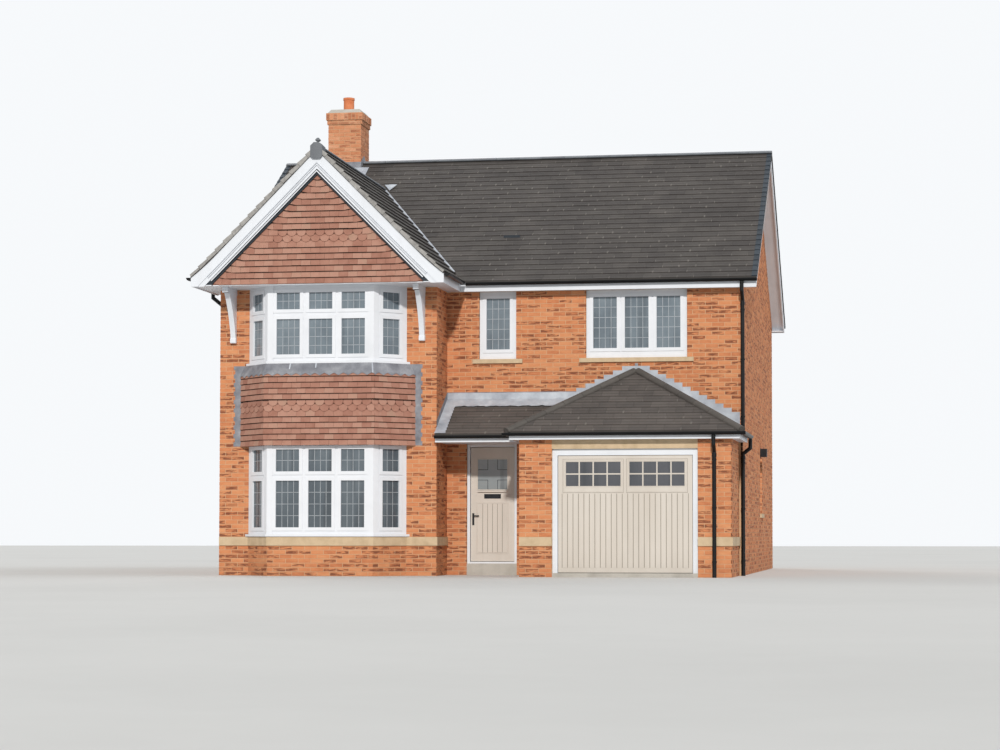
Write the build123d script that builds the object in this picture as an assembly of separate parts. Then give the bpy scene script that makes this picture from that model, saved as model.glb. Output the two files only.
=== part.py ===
from build123d import *
import math
import os

# A two-storey brick detached house with a projecting tile-hung front gable over a canted bay,
# an integral garage and a lean-to porch. Millimetres, +Z up. The origin is on the ground, at the
# centre of the main body's plan, so X = 0 is mid-width and Y = 0 is under the main ridge.
# The front of the house faces -Y.

# Plan
HOUSE_WIDTH = 9150.0
HOUSE_DEPTH = 8600.0
WALL = 300.0
GABLE_WIDTH = 3900.0
GABLE_PROJECTION = 900.0
GARAGE_INSET = 65.0
GARAGE_PROJECTION = 1700.0
GARAGE_LENGTH = 5100.0

# Levels above the ground
FLOOR_LEVEL = 225.0
GARAGE_FLOOR_LEVEL = 70.0
FIRST_FLOOR_LEVEL = 2800.0
FLOOR_DEPTH = 250.0
SOFFIT_LEVEL = 5030.0
CEILING_DEPTH = 100.0

# Boards at the eaves and verges
SOFFIT_BOARD = 15.0
FASCIA_BOARD = 20.0
FASCIA_DROP = 15.0
VERGE_BOARD = 25.0
VERGE_BOARD_DEPTH = 190.0
VERGE_SOFFIT = 12.0

# Main roof
MAIN_PITCH = 0.643
EAVE_OVERHANG = 270.0
EAVE_TILE_LEVEL = 5189.0
EAVE_TILE_DRIP = 70.0
MAIN_ROOF_DEPTH = 175.0
TILE_DEPTH = 50.0
TILE_TAIL = 20.0
VERGE_OVERHANG = 280.0
VERGE_TILE_DRIP = 20.0

# Front gable roof, jettied out over the bay
GABLE_PITCH = 1.0
GABLE_ROOF_DEPTH = 210.0
GABLE_OVERHANG = 290.0
KICK_SET_IN = 170.0
KICK_START_LEVEL = 5650.0
KICK_TIP_LEVEL = 5200.0
JETTY = 720.0
PANEL_DEPTH = 120.0
BARGE_PROUD = 80.0
BARGE_THICK = 22.0
BARGE_MOULD = 13.0
BARGE_DEPTH = 325.0
BARGE_MOULD_DEPTH = 215.0
BARGE_TILE_GAP = 80.0
BARGE_TIP_GAP = 30.0
VERGE_TRIM_DEPTH = 130.0
VERGE_TRIM_LAP = 30.0

# Timber brackets under the jetty
BRACKET_INSET = 250.0
BRACKET_WIDTH = 90.0
BRACKET_HEIGHT = 930.0
BRACKET_REACH = 550.0
BRACKET_FOOT = 70.0
BRACKET_HEAD = 95.0
BRACKET_ARC_OUT = 154.0
BRACKET_ARC_DOWN = 335.0

# Canted bay
BAY_PROJECTION = 480.0
GABLE_PIER = 530.0
BAY_FRAME_DEPTH = 70.0
BAY_BASE_DEPTH = 100.0
BAY_OPENING_SET_IN = 200.0
BAY_SILL_LEVEL = 683.0
BAY_HEAD_LEVEL = 2265.0
BAY_SKIRT_PROUD = 100.0
BAY_SKIRT_TOP = 3520.0
BAY_APRON_TOP = 3683.0
BAY_SILL_THICK = 40.0
BAY_SILL_PROUD = 45.0
BAY_MULLION = 165.0
BAY_END_FACE = 152.5
BAY_CANT_GLASS = 340.0
BAY_CANT_GLASS_OFFSET = 185.0
BAY_POST_FACE = 75.0
BAY_POST_PROUD = 18.0
LOWER_LIGHT = (841.0, 1650.0)
LOWER_TOP_LIGHT = (1810.0, 2193.0)
UPPER_LIGHT = (3842.0, 4457.0)
UPPER_TOP_LIGHT = (4627.0, 4919.0)
LEAD = 6.0
BAY_LEAD_WIDTH = 140.0

# Casement windows
SASH_FACE = 60.0
SASH_PROUD = 12.0
FRAME_FACE = 62.0
FRAME_FOOT = 115.0
FRAME_DEPTH = 70.0
FRAME_RECESS = 45.0
LIGHT_GLASS = 420.0
LIGHT_MULLION = 142.0
GLASS_THICK = 24.0
GLASS_SET = 23.0
WINDOW_FOOT_LEVEL = 3825.0
SMALL_WINDOW_SET = 583.0
REAR_WINDOW_INSET = 1300.0
REAR_LOWER_FOOT_LEVEL = 1050.0
WINDOW_HEIGHT = 1205.0
SIDE_WINDOW_Y = 4620.0
SIDE_WINDOW_WIDTH = 600.0
SIDE_WINDOW_FOOT_LEVEL = 1120.0
SIDE_WINDOW_HEIGHT = 1250.0
SIDE_WINDOW_RECESS = 85.0
STONE_SILL_THICK = 75.0
STONE_SILL_HORN = 117.0
STONE_SILL_PROUD = 40.0

# Stone band round the gable front and the garage
BAND_BOTTOM = 525.0
BAND_TOP = 675.0
BAND_PROUD = 25.0

# Front door
DOOR_LEFT_PIER = 360.0
DOOR_RIGHT_PIER = 340.0
DOOR_WIDTH = 900.0
DOOR_HEAD_LEVEL = 2320.0
DOOR_JAMB = 50.0
DOOR_RECESS = 45.0
DOOR_FRAME_DEPTH = 80.0
DOOR_STEP_LEVEL = 205.0
DOOR_THRESHOLD = 30.0
DOOR_LEAF_THICK = 44.0
DOOR_GAP = 8.0
DOOR_HINGE_SET = 9.0
DOOR_KNUCKLE_RADIUS = 7.0
DOOR_PIN_RADIUS = 3.5
DOOR_KNUCKLE_HEIGHT = 38.0
DOOR_HINGE_PLATE = 4.0
DOOR_HINGE_LEAF = 34.0
DOOR_HINGE_COUNT = 3
DOOR_HINGE_MARGIN = 200.0
DOOR_KNUCKLE_GAP = 1.0
DOOR_GLASS_WIDTH = 531.0
DOOR_GLASS_BOTTOM = 1500.0
DOOR_GLASS_TOP = 2050.0
DOOR_LEDGE_THICK = 30.0
HANDLE_RISE = 807.0
HANDLE_BACKSET = 45.0
HANDLE_RADIUS = 9.0
HANDLE_OUT = 40.0
HANDLE_LENGTH = 110.0
HANDLE_PLATE_WIDTH = 36.0
HANDLE_PLATE_THICK = 8.0
HANDLE_PLATE_DROP = 165.0
LETTER_PLATE_DROP = 65.0
LETTER_PLATE_WIDTH = 300.0
LETTER_PLATE_HEIGHT = 80.0
LETTER_PLATE_THICK = 6.0

# Garage door and its frame
GARAGE_PIER = 560.0
GARAGE_JAMB = 88.0
GARAGE_FRAME_SET = 50.0
GARAGE_FRAME_DEPTH = 70.0
GARAGE_HEAD_LEVEL = 2160.0
LEAF_HEIGHT = 1965.0
LEAF_THICK = 40.0
LEAF_SET = 15.0
LEAF_SIDE_GAP = 8.0
LEAF_FLOOR_GAP = 8.0
LIGHT_BAND_DROP = 103.0
LIGHT_BAND_HEIGHT = 407.0
LIGHT_SET_MARGIN = 133.0
LIGHT_SET_GAP = 151.0
LIGHT_COLUMNS = 4
LIGHT_ROWS = 2
LIGHT_BAR = 22.0

# Up-and-over gear: arms, rollers and ceiling tracks
GEAR_SET = 95.0
ARM_LENGTH = 940.0
GEAR_TOP_DROP = 53.0
ARM_THICK = 8.0
ARM_WIDTH = 40.0
PIVOT_RADIUS = 9.0
PIN_CLEARANCE = 0.5
GEAR_LAYER = 26.0
ROLLER_RADIUS = 13.0
CARRIER_SET = 60.0
CARRIER_PLATE = 5.0
TRACK_GAP = 6.0
TRACK_WALL = 3.0
TRACK_RUN = 2050.0

# Garage and porch roofs
LOW_EAVE_LEVEL = 2450.0
LOW_OVERHANG = 200.0
LOW_PITCH = 0.60
LOW_ROOF_DEPTH = 110.0
LOW_SOFFIT_LEVEL = 2320.0
LOW_FASCIA_SET = 50.0
PORCH_REACH = 1070.0
PORCH_TOP_LEVEL = 3092.0
FLASHING_UPSTAND = 150.0
COURSE = 75.0

# Chimney
CHIMNEY_X = 636.0
CHIMNEY_WIDTH = 659.0
CHIMNEY_AHEAD = 250.0
CHIMNEY_DEPTH = 670.0
SHAFT_TOP = 8870.0
CORBEL_HEIGHT = 85.0
CORBEL_STEP = 20.0
UPPER_CORBEL_HEIGHT = 145.0
CAPPING_HEIGHT = 80.0
CAPPING_FALL = 60.0
POT_RADIUS = 105.0
POT_HEIGHT = 276.0
POT_WALL = 18.0
POT_RIM_PROUD = 9.0
POT_RIM_HEIGHT = 45.0

# Ridge and hip tiles
RIDGE_TILE_HALF = 115.0
RIDGE_TILE_CROWN = 42.0
RIDGE_TILE_EDGE = 22.0
GABLE_RIDGE_TILE_HALF = 92.0
HIP_TILE_RADIUS = 86.0
HIP_TILE_OVERRUN = 1.2
HIP_TILE_SIDES = 14
FINIAL_WIDTH = 210.0
FINIAL_RISE = 5.0
FINIAL_CHAMFER = 60.0
FINIAL_PLATE = 25.0
FINIAL_PLATE_DROP = 280.0
FINIAL_PLATE_TAPER = 40.0
KNOB_STEM = 28.0
KNOB_RADIUS = 40.0
KNOB_NECK_HEIGHT = 45.0
KNOB_HEIGHT = 78.0

# Rainwater goods
GUTTER_RADIUS = 54.0
GUTTER_WALL = 4.0
GUTTER_GAP = 0.3
GUTTER_DROP = 3.0
PIPE_RADIUS = 34.0
PIPE_WALL_GAP = 30.0
PIPE_SIDES = 16
PIPE_SOCKET = 6.0
PIPE_SOCKET_HEIGHT = 60.0
PIPE_OUTLET_DROP = 154.0
PIPE_SLANT_FALL = 0.8
PIPE_SHOE_GAP = 40.0
CORNER_PIPE_OUT = 13.0
GABLE_PIPE_SET = 600.0

# Small fittings
VENT_LENGTH = 300.0
VENT_HEIGHT = 55.0
VENT_LEVEL = 6140.0
VENT_X = 4698.0
LANTERN_Y = 4700.0
LANTERN_LEVEL = 2210.0
LANTERN_HEIGHT = 190.0
LANTERN_WIDTH = 110.0
LANTERN_PLATE = 15.0
LANTERN_REACH = 135.0

# Places worked out from the sizes above
LEFT = -HOUSE_WIDTH / 2
RIGHT = HOUSE_WIDTH / 2
FRONT = -HOUSE_DEPTH / 2
REAR = HOUSE_DEPTH / 2
GABLE_RIGHT = LEFT + GABLE_WIDTH
GABLE_EAVE_REACH = GABLE_WIDTH / 2 + GABLE_OVERHANG
KICK_START = GABLE_WIDTH / 2 - KICK_SET_IN
GABLE_RIDGE_LEVEL = KICK_START_LEVEL + GABLE_PITCH * KICK_START
GABLE_MID = LEFT + GABLE_WIDTH / 2
GABLE_FRONT = FRONT - GABLE_PROJECTION
BAY_FOOT_HALF = GABLE_WIDTH / 2 - GABLE_PIER
BAY_HALF_FRONT = BAY_FOOT_HALF - BAY_PROJECTION
BAY_OPENING_HALF = BAY_FOOT_HALF - BAY_OPENING_SET_IN
BAY_FRONT_GLASS = (2 * BAY_HALF_FRONT - 2 * BAY_MULLION - 2 * BAY_END_FACE) / 3
PANEL_FRONT = GABLE_FRONT - JETTY
BARGE_FRONT = PANEL_FRONT - BARGE_PROUD
BARGE_BACK = BARGE_FRONT + BARGE_MOULD + BARGE_THICK
GABLE_VERGE = BARGE_FRONT - VERGE_TILE_DRIP
DOOR_FRAME_LEFT = GABLE_RIGHT + DOOR_LEFT_PIER
DOOR_FRAME_RIGHT = DOOR_FRAME_LEFT + DOOR_WIDTH
GARAGE_LEFT = DOOR_FRAME_RIGHT + DOOR_RIGHT_PIER
GARAGE_RIGHT = RIGHT - GARAGE_INSET
GARAGE_MID = (GARAGE_LEFT + GARAGE_RIGHT) / 2
GARAGE_FRONT = FRONT - GARAGE_PROJECTION
CEILING_TOP = SOFFIT_LEVEL + CEILING_DEPTH
EAVE_RUN = HOUSE_DEPTH / 2 + EAVE_OVERHANG
MAIN_RIDGE_LEVEL = EAVE_TILE_LEVEL + MAIN_PITCH * EAVE_RUN
FASCIA_FACE = EAVE_RUN - EAVE_TILE_DRIP
FASCIA_BACK = FASCIA_FACE - FASCIA_BOARD
SOFFIT_TOP = SOFFIT_LEVEL + SOFFIT_BOARD
VERGE_LEFT = LEFT - VERGE_OVERHANG
VERGE_RIGHT = RIGHT + VERGE_OVERHANG
VERGE_BOARD_FACE = HOUSE_WIDTH / 2 + VERGE_OVERHANG - VERGE_TILE_DRIP
VERGE_BOARD_BACK = VERGE_BOARD_FACE - VERGE_BOARD
KICK_FASCIA_FACE = GABLE_EAVE_REACH - FASCIA_BOARD / 2
KICK_FASCIA_BACK = KICK_FASCIA_FACE - FASCIA_BOARD
GARAGE_DOOR_LEFT = GARAGE_LEFT + GARAGE_PIER
GARAGE_DOOR_RIGHT = GARAGE_RIGHT - GARAGE_PIER
LEAF_LEFT = GARAGE_DOOR_LEFT + GARAGE_JAMB + LEAF_SIDE_GAP
LEAF_RIGHT = GARAGE_DOOR_RIGHT - GARAGE_JAMB - LEAF_SIDE_GAP
LEAF_BOTTOM = GARAGE_FLOOR_LEVEL + LEAF_FLOOR_GAP
LEAF_TOP = LEAF_BOTTOM + LEAF_HEIGHT
GARAGE_FRAME_FRONT = GARAGE_FRONT + GARAGE_FRAME_SET
GARAGE_FRAME_BACK = GARAGE_FRAME_FRONT + GARAGE_FRAME_DEPTH
LEAF_FRONT = GARAGE_FRAME_FRONT + LEAF_SET
LEAF_BACK = LEAF_FRONT + LEAF_THICK
GEAR_Y = LEAF_FRONT + GEAR_SET
GEAR_Z = LEAF_TOP - GEAR_TOP_DROP
LOW_EAVE_FRONT = GARAGE_FRONT - LOW_OVERHANG
LOW_EAVE_LEFT = GARAGE_LEFT - LOW_OVERHANG
LOW_EAVE_RIGHT = GARAGE_RIGHT + LOW_OVERHANG
LOW_APEX_LEVEL = LOW_EAVE_LEVEL + LOW_PITCH * (FRONT - LOW_EAVE_FRONT)
LOW_SIDE_PITCH = (LOW_APEX_LEVEL - LOW_EAVE_LEVEL) / (GARAGE_MID - LOW_EAVE_LEFT)
PORCH_EAVE = FRONT - PORCH_REACH
PORCH_PITCH = (PORCH_TOP_LEVEL - LOW_EAVE_LEVEL) / PORCH_REACH
DOOR_FRAME_FRONT = FRONT + DOOR_RECESS
DOOR_FRAME_BACK = DOOR_FRAME_FRONT + DOOR_FRAME_DEPTH
DOOR_LEAF_LEFT = DOOR_FRAME_LEFT + DOOR_JAMB + DOOR_GAP
DOOR_LEAF_RIGHT = DOOR_FRAME_RIGHT - DOOR_JAMB - DOOR_GAP
DOOR_LEAF_BOTTOM = DOOR_STEP_LEVEL + DOOR_THRESHOLD + DOOR_GAP
DOOR_LEAF_TOP = DOOR_HEAD_LEVEL - DOOR_JAMB - DOOR_GAP
DOOR_LEAF_BACK = DOOR_FRAME_BACK
DOOR_LEAF_FRONT = DOOR_LEAF_BACK - DOOR_LEAF_THICK
DOOR_PIVOT_X = DOOR_LEAF_RIGHT
DOOR_PIVOT_Y = DOOR_LEAF_BACK + DOOR_HINGE_SET
LIGHT_MARGIN = FRAME_FACE + SASH_FACE
WIDE_WINDOW_WIDTH = 2 * LIGHT_MARGIN + 3 * LIGHT_GLASS + 2 * LIGHT_MULLION
SMALL_WINDOW_WIDTH = 2 * LIGHT_MARGIN + LIGHT_GLASS
SMALL_WINDOW_LEFT = GABLE_RIGHT + SMALL_WINDOW_SET
WIDE_WINDOW_LEFT = GARAGE_MID - WIDE_WINDOW_WIDTH / 2
LIGHT_BAND_TOP = LEAF_TOP - LIGHT_BAND_DROP
LIGHT_BAND_BOTTOM = LIGHT_BAND_TOP - LIGHT_BAND_HEIGHT
CHIMNEY_LEFT = LEFT + CHIMNEY_X
CHIMNEY_FRONT = -CHIMNEY_AHEAD

NODES = {}


def keep(name, *solids):
    """Stores the solids of one named node."""
    NODES[name] = list(solids)


def block(x, y, z):
    """Upright box between two corners, given as (low, high) ranges."""
    corner = Plane((x[0], y[0], z[0]))
    return Solid.make_box(x[1] - x[0], y[1] - y[0], z[1] - z[0], corner)


def prism(outline, sweep):
    """Solid made by sliding a flat outline of 3-D points along a straight sweep."""
    return Solid.extrude(Face(Wire.make_polygon([Vector(*p) for p in outline])), Vector(*sweep))


def along_x(outline, x):
    """Outline of (y, z) points extruded over the range x."""
    return prism([(x[0], p[0], p[1]) for p in outline], (x[1] - x[0], 0, 0))


def along_y(outline, y):
    """Outline of (x, z) points extruded over the range y."""
    return prism([(p[0], y[0], p[1]) for p in outline], (0, y[1] - y[0], 0))


def along_z(outline, z):
    """Outline of (x, y) points extruded over the range z."""
    return prism([(p[0], p[1], z[0]) for p in outline], (0, 0, z[1] - z[0]))


def rod_x(y, z, radius, x):
    """Round rod along X."""
    return Solid.make_cylinder(radius, x[1] - x[0], Plane((x[0], y, z), z_dir=(1, 0, 0)))


def main_level(y, drop=0.0):
    """Level of the main roof's tile surface at depth y, less a vertical drop."""
    return EAVE_TILE_LEVEL + MAIN_PITCH * (EAVE_RUN - abs(y)) - drop


def main_depth_at(level, drop=0.0):
    """Distance from the ridge line at which the main roof, dropped, reaches a level."""
    return EAVE_RUN - (level + drop - EAVE_TILE_LEVEL) / MAIN_PITCH


def gable_level(reach, drop=0.0):
    """Level of the gable's straight slope at a distance from its ridge, less a drop."""
    return GABLE_RIDGE_LEVEL - GABLE_PITCH * abs(reach) - drop


def main_attic():
    """Space under the main roof's underside, wider than the house."""
    foot = main_depth_at(0.0, MAIN_ROOF_DEPTH)
    peak = main_level(0.0, MAIN_ROOF_DEPTH)
    reach = HOUSE_WIDTH
    return along_x([(-foot, 0.0), (foot, 0.0), (0.0, peak)], (-reach, reach))


def gable_back():
    """Depth at which the gable's ridge has run wholly under the main roof."""
    return -main_depth_at(GABLE_RIDGE_LEVEL, MAIN_ROOF_DEPTH)


def gable_attic(front):
    """Space under the gable roof's underside, from a front depth to its back."""
    peak = gable_level(0.0, GABLE_ROOF_DEPTH)
    outline = [(GABLE_MID - peak, 0.0), (GABLE_MID + peak, 0.0), (GABLE_MID, peak)]
    return along_y(outline, (front, gable_back()))


def gable_slope(side, foot_points, top_drop=0.0):
    """Face of one gable slope: straight rafter line, kicked eave arc, then the given foot.

    A slope lowered by top_drop closes up to BARGE_TIP_GAP under the tiles at its tip.
    """
    def at(reach, level):
        return Vector(GABLE_MID + side * reach, GABLE_VERGE, level)
    start = at(KICK_START, gable_level(KICK_START, top_drop))
    tip = at(GABLE_EAVE_REACH, KICK_TIP_LEVEL - min(top_drop, BARGE_TIP_GAP))
    rafter = Vector(side, 0, -GABLE_PITCH)
    crown = at(0.0, gable_level(0.0, top_drop))
    rest = [at(*point) for point in foot_points]
    edges = [Edge.make_line(crown, start), Edge.make_tangent_arc(start, rafter, tip)]
    corners = [tip] + rest + [crown]
    edges += [Edge.make_line(a, b) for a, b in zip(corners, corners[1:])]
    return Face(Wire(edges))


def gable_envelope():
    """Everything under the gable roof's tile surface, both sides, back to under the main roof."""
    low = SOFFIT_LEVEL - GABLE_ROOF_DEPTH
    run = Vector(0, gable_back() - GABLE_VERGE, 0)
    halves = [Solid.extrude(gable_slope(side, [(GABLE_EAVE_REACH, low), (0.0, low)]), run)
              for side in (-1, 1)]
    return halves[0].fuse(halves[1])


def sheltered(solid, gable_start):
    """A wall trimmed to the undersides of the two roofs."""
    shelter = main_attic().fuse(gable_attic(gable_start))
    return solid & shelter


def window_lights(count, width, pitch, first, heights):
    """Glass rectangles (x range, z range) of a row of lights."""
    rows = []
    for number in range(count):
        left = first + number * pitch
        rows += [((left, left + width), height) for height in heights]
    return rows


def window(width, height, lights, foot=FRAME_FOOT):
    """Casement frame and its panes in a local frame: left foot corner at 0, front at y = 0.

    Each light's sash stands proud of the frame by SASH_PROUD, so the front lies at -SASH_PROUD.
    """
    frame = block((0.0, width), (0.0, FRAME_DEPTH), (0.0, height))
    for x, z in lights:
        ring_x = (x[0] - SASH_FACE, x[1] + SASH_FACE)
        ring_z = (z[0] - SASH_FACE, z[1] + SASH_FACE)
        frame = frame.fuse(block(ring_x, (-SASH_PROUD, 0.0), ring_z))
    panes = []
    for x, z in lights:
        frame = frame.cut(block(x, (-SASH_PROUD, FRAME_DEPTH), z))
        panes.append(block(x, (GLASS_SET, GLASS_SET + GLASS_THICK), z))
    return frame, panes


def casement(lights_across, place, height=WINDOW_HEIGHT, glass=LIGHT_GLASS):
    """Plain casement window of one to three lights, moved to its place in a wall."""
    width = 2 * LIGHT_MARGIN + lights_across * glass + (lights_across - 1) * LIGHT_MULLION
    light_height = [(FRAME_FOOT + SASH_FACE, height - LIGHT_MARGIN)]
    lights = window_lights(lights_across, glass, glass + LIGHT_MULLION, LIGHT_MARGIN, light_height)
    frame, panes = window(width, height, lights)
    return place * frame, [place * pane for pane in panes]


def front_window_places():
    """Local-to-house placings of the two upper front windows, with their widths."""
    depth = FRONT + FRAME_RECESS
    return [(1, SMALL_WINDOW_LEFT, SMALL_WINDOW_WIDTH, depth),
            (3, WIDE_WINDOW_LEFT, WIDE_WINDOW_WIDTH, depth)]


def rear_window_places():
    """Right-hand X and foot level of the four rear windows, seen from behind."""
    rows = []
    for level in (REAR_LOWER_FOOT_LEVEL, WINDOW_FOOT_LEVEL):
        rows.append((LEFT + REAR_WINDOW_INSET, level))
        rows.append((RIGHT - REAR_WINDOW_INSET - WIDE_WINDOW_WIDTH, level))
    return rows


def side_window_y():
    """Front and back depth of the window in the right side wall."""
    return (FRONT + SIDE_WINDOW_Y, FRONT + SIDE_WINDOW_Y + SIDE_WINDOW_WIDTH)


def make_side_walls():
    """Left and right walls, each rising to a gable under the roof."""
    left = block((LEFT, LEFT + WALL), (GABLE_FRONT, REAR), (0.0, MAIN_RIDGE_LEVEL))
    keep("left_wall", sheltered(left, GABLE_FRONT))
    right = block((RIGHT - WALL, RIGHT), (FRONT, REAR), (0.0, MAIN_RIDGE_LEVEL)) & main_attic()
    foot = SIDE_WINDOW_FOOT_LEVEL
    hole = block((RIGHT - WALL, RIGHT), side_window_y(), (foot, foot + SIDE_WINDOW_HEIGHT))
    keep("right_wall", right.cut(hole))


def make_rear_wall():
    """Back wall between the side walls, with two windows to each storey."""
    wall = block((LEFT + WALL, RIGHT - WALL), (REAR - WALL, REAR), (0.0, MAIN_RIDGE_LEVEL))
    wall = wall & main_attic()
    for left, foot in rear_window_places():
        x = (left, left + WIDE_WINDOW_WIDTH)
        wall = wall.cut(block(x, (REAR - WALL, REAR), (foot, foot + WINDOW_HEIGHT)))
    keep("rear_wall", wall)


def make_front_walls():
    """Upper front wall over the door and garage, and the two ground-floor pieces at the door."""
    upper = block((GABLE_RIGHT, RIGHT - WALL), (FRONT, FRONT + WALL),
                  (DOOR_HEAD_LEVEL, MAIN_RIDGE_LEVEL))
    upper = sheltered(upper, GABLE_FRONT)
    for _, left, width, _ in front_window_places():
        hole = block((left, left + width), (FRONT, FRONT + WALL),
                     (WINDOW_FOOT_LEVEL, WINDOW_FOOT_LEVEL + WINDOW_HEIGHT))
        upper = upper.cut(hole)
    keep("front_wall_upper", upper)
    beside = [block((GABLE_RIGHT, DOOR_FRAME_LEFT), (FRONT, FRONT + WALL), (0.0, DOOR_HEAD_LEVEL)),
              block((DOOR_FRAME_RIGHT, GARAGE_LEFT + WALL), (FRONT, FRONT + WALL),
                    (0.0, DOOR_HEAD_LEVEL))]
    keep("front_wall_beside_door", *beside)


def make_gable_walls():
    """Brick piers and beams of the gable front, and the return wall to the front door."""
    y = (GABLE_FRONT, GABLE_FRONT + WALL)
    inner_left = GABLE_MID - BAY_OPENING_HALF
    inner_right = GABLE_MID + BAY_OPENING_HALF
    keep("gable_front_piers",
         block((LEFT + WALL, inner_left), y, (0.0, CEILING_TOP)),
         block((inner_right, GABLE_RIGHT - WALL), y, (0.0, CEILING_TOP)))
    floor_underside = FIRST_FLOOR_LEVEL - FLOOR_DEPTH
    keep("gable_front_beams",
         block((inner_left, inner_right), y, (BAY_HEAD_LEVEL, floor_underside)),
         block((inner_left, inner_right), y, (SOFFIT_LEVEL, CEILING_TOP)))
    wall = block((GABLE_RIGHT - WALL, GABLE_RIGHT), (GABLE_FRONT, FRONT + WALL),
                 (0.0, MAIN_RIDGE_LEVEL))
    keep("gable_return_wall", sheltered(wall, GABLE_FRONT))


def make_garage_walls():
    """Side walls of the garage with the piers beside its door, and the plate over them."""
    walls = []
    for outer, side in ((GARAGE_LEFT, 1), (GARAGE_RIGHT, -1)):
        inner = outer + side * WALL
        pier = outer + side * GARAGE_PIER
        back = GARAGE_FRONT + WALL
        outline = [(outer, GARAGE_FRONT), (pier, GARAGE_FRONT), (pier, back), (inner, back),
                   (inner, FRONT), (outer, FRONT)]
        walls.append(along_z(outline, (0.0, LOW_SOFFIT_LEVEL)))
    keep("garage_side_walls", *walls)
    keep("garage_wall_plate",
         block((GARAGE_LEFT, GARAGE_RIGHT), (GARAGE_FRONT, GARAGE_FRONT + WALL),
               (LOW_SOFFIT_LEVEL, LOW_EAVE_LEVEL - TILE_DEPTH)))


def make_floors():
    """Ground slab, garage floor, first floor and upper ceiling inside the walls."""
    bay = [(GABLE_MID + x, GABLE_FRONT + y) for x, y in canted_line(-BAY_BASE_DEPTH)]
    in_left = LEFT + WALL
    in_front = GABLE_FRONT + WALL
    opening = BAY_OPENING_HALF
    bay_side = [(in_left, in_front), (GABLE_MID - opening, in_front),
                (GABLE_MID - opening, GABLE_FRONT)] + bay
    bay_side += [(GABLE_MID + opening, GABLE_FRONT), (GABLE_MID + opening, in_front)]
    corner = GABLE_RIGHT - WALL
    house = bay_side + [(corner, in_front), (corner, FRONT + WALL)]
    garage_back = GARAGE_FRONT + WALL + GARAGE_LENGTH
    ground = house + [(GARAGE_LEFT + WALL, FRONT + WALL), (GARAGE_LEFT + WALL, garage_back),
                      (RIGHT - WALL, garage_back), (RIGHT - WALL, REAR - WALL),
                      (in_left, REAR - WALL)]
    slab = along_z(ground, (0.0, FLOOR_LEVEL))
    step = block((DOOR_FRAME_LEFT, DOOR_FRAME_RIGHT), (FRONT, FRONT + WALL),
                 (0.0, DOOR_STEP_LEVEL))
    keep("ground_floor", slab.fuse(step))
    door = block((GARAGE_DOOR_LEFT, GARAGE_DOOR_RIGHT), (GARAGE_FRONT, GARAGE_FRONT + WALL),
                 (0.0, GARAGE_FLOOR_LEVEL))
    bay_area = block((GARAGE_LEFT + WALL, GARAGE_RIGHT - WALL), (GARAGE_FRONT + WALL, FRONT),
                     (0.0, GARAGE_FLOOR_LEVEL))
    inner = block((GARAGE_LEFT + WALL, RIGHT - WALL), (FRONT, garage_back),
                  (0.0, GARAGE_FLOOR_LEVEL))
    keep("garage_floor", door.fuse(bay_area).fuse(inner))
    upper = house + [(RIGHT - WALL, FRONT + WALL), (RIGHT - WALL, REAR - WALL),
                     (in_left, REAR - WALL)]
    keep("first_floor", along_z(upper, (FIRST_FLOOR_LEVEL - FLOOR_DEPTH, FIRST_FLOOR_LEVEL)))
    flat = [(in_left, in_front), (corner, in_front), (corner, FRONT + WALL),
            (RIGHT - WALL, FRONT + WALL), (RIGHT - WALL, REAR - WALL), (in_left, REAR - WALL)]
    keep("upper_ceiling", along_z(flat, (SOFFIT_LEVEL, CEILING_TOP)))


def canted_line(offset):
    """Plan of the bay's face moved outwards by offset, from its left foot to its right foot.

    The points are relative to the gable wall's face at the bay's middle. The sides stand at
    45 degrees, so an offset lengthens the front by tan(22.5 degrees) at each end.
    """
    front = BAY_HALF_FRONT + offset * math.tan(math.pi / 8)
    depth = BAY_PROJECTION + offset
    foot = front + depth
    return [(-foot, 0.0), (-front, -depth), (front, -depth), (foot, 0.0)]


def canted_outline(outer, inner):
    """Closed plan of a band round the bay between two offsets of its face."""
    points = canted_line(outer) + canted_line(inner)[::-1]
    return [(GABLE_MID + x, GABLE_FRONT + y) for x, y in points]


def canted_band(outer, inner, z):
    """Upright band round the bay between two offsets of its face."""
    return along_z(canted_outline(outer, inner), z)


def bay_light_boxes(y, grow, heights):
    """Boxes at every light of one bay storey, each grown by a margin, over a depth range."""
    boxes = []
    first = -1.5 * BAY_FRONT_GLASS - BAY_MULLION
    pitch = BAY_FRONT_GLASS + BAY_MULLION
    face = Pos(GABLE_MID, GABLE_FRONT - BAY_PROJECTION, 0)
    for number in range(3):
        x = (first + number * pitch - grow, first + number * pitch + BAY_FRONT_GLASS + grow)
        boxes += [face * block(x, y, (z[0] - grow, z[1] + grow)) for z in heights]
    near = BAY_CANT_GLASS_OFFSET - grow
    far = BAY_CANT_GLASS_OFFSET + BAY_CANT_GLASS + grow
    corner_y = GABLE_FRONT - BAY_PROJECTION
    right = Pos(GABLE_MID + BAY_HALF_FRONT, corner_y, 0) * Rot(0, 0, 45)
    left = Pos(GABLE_MID - BAY_HALF_FRONT, corner_y, 0) * Rot(0, 0, -45)
    for z in heights:
        span = (z[0] - grow, z[1] + grow)
        boxes.append(right * block((near, far), y, span))
        boxes.append(left * block((-far, -near), y, span))
    return boxes


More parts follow.
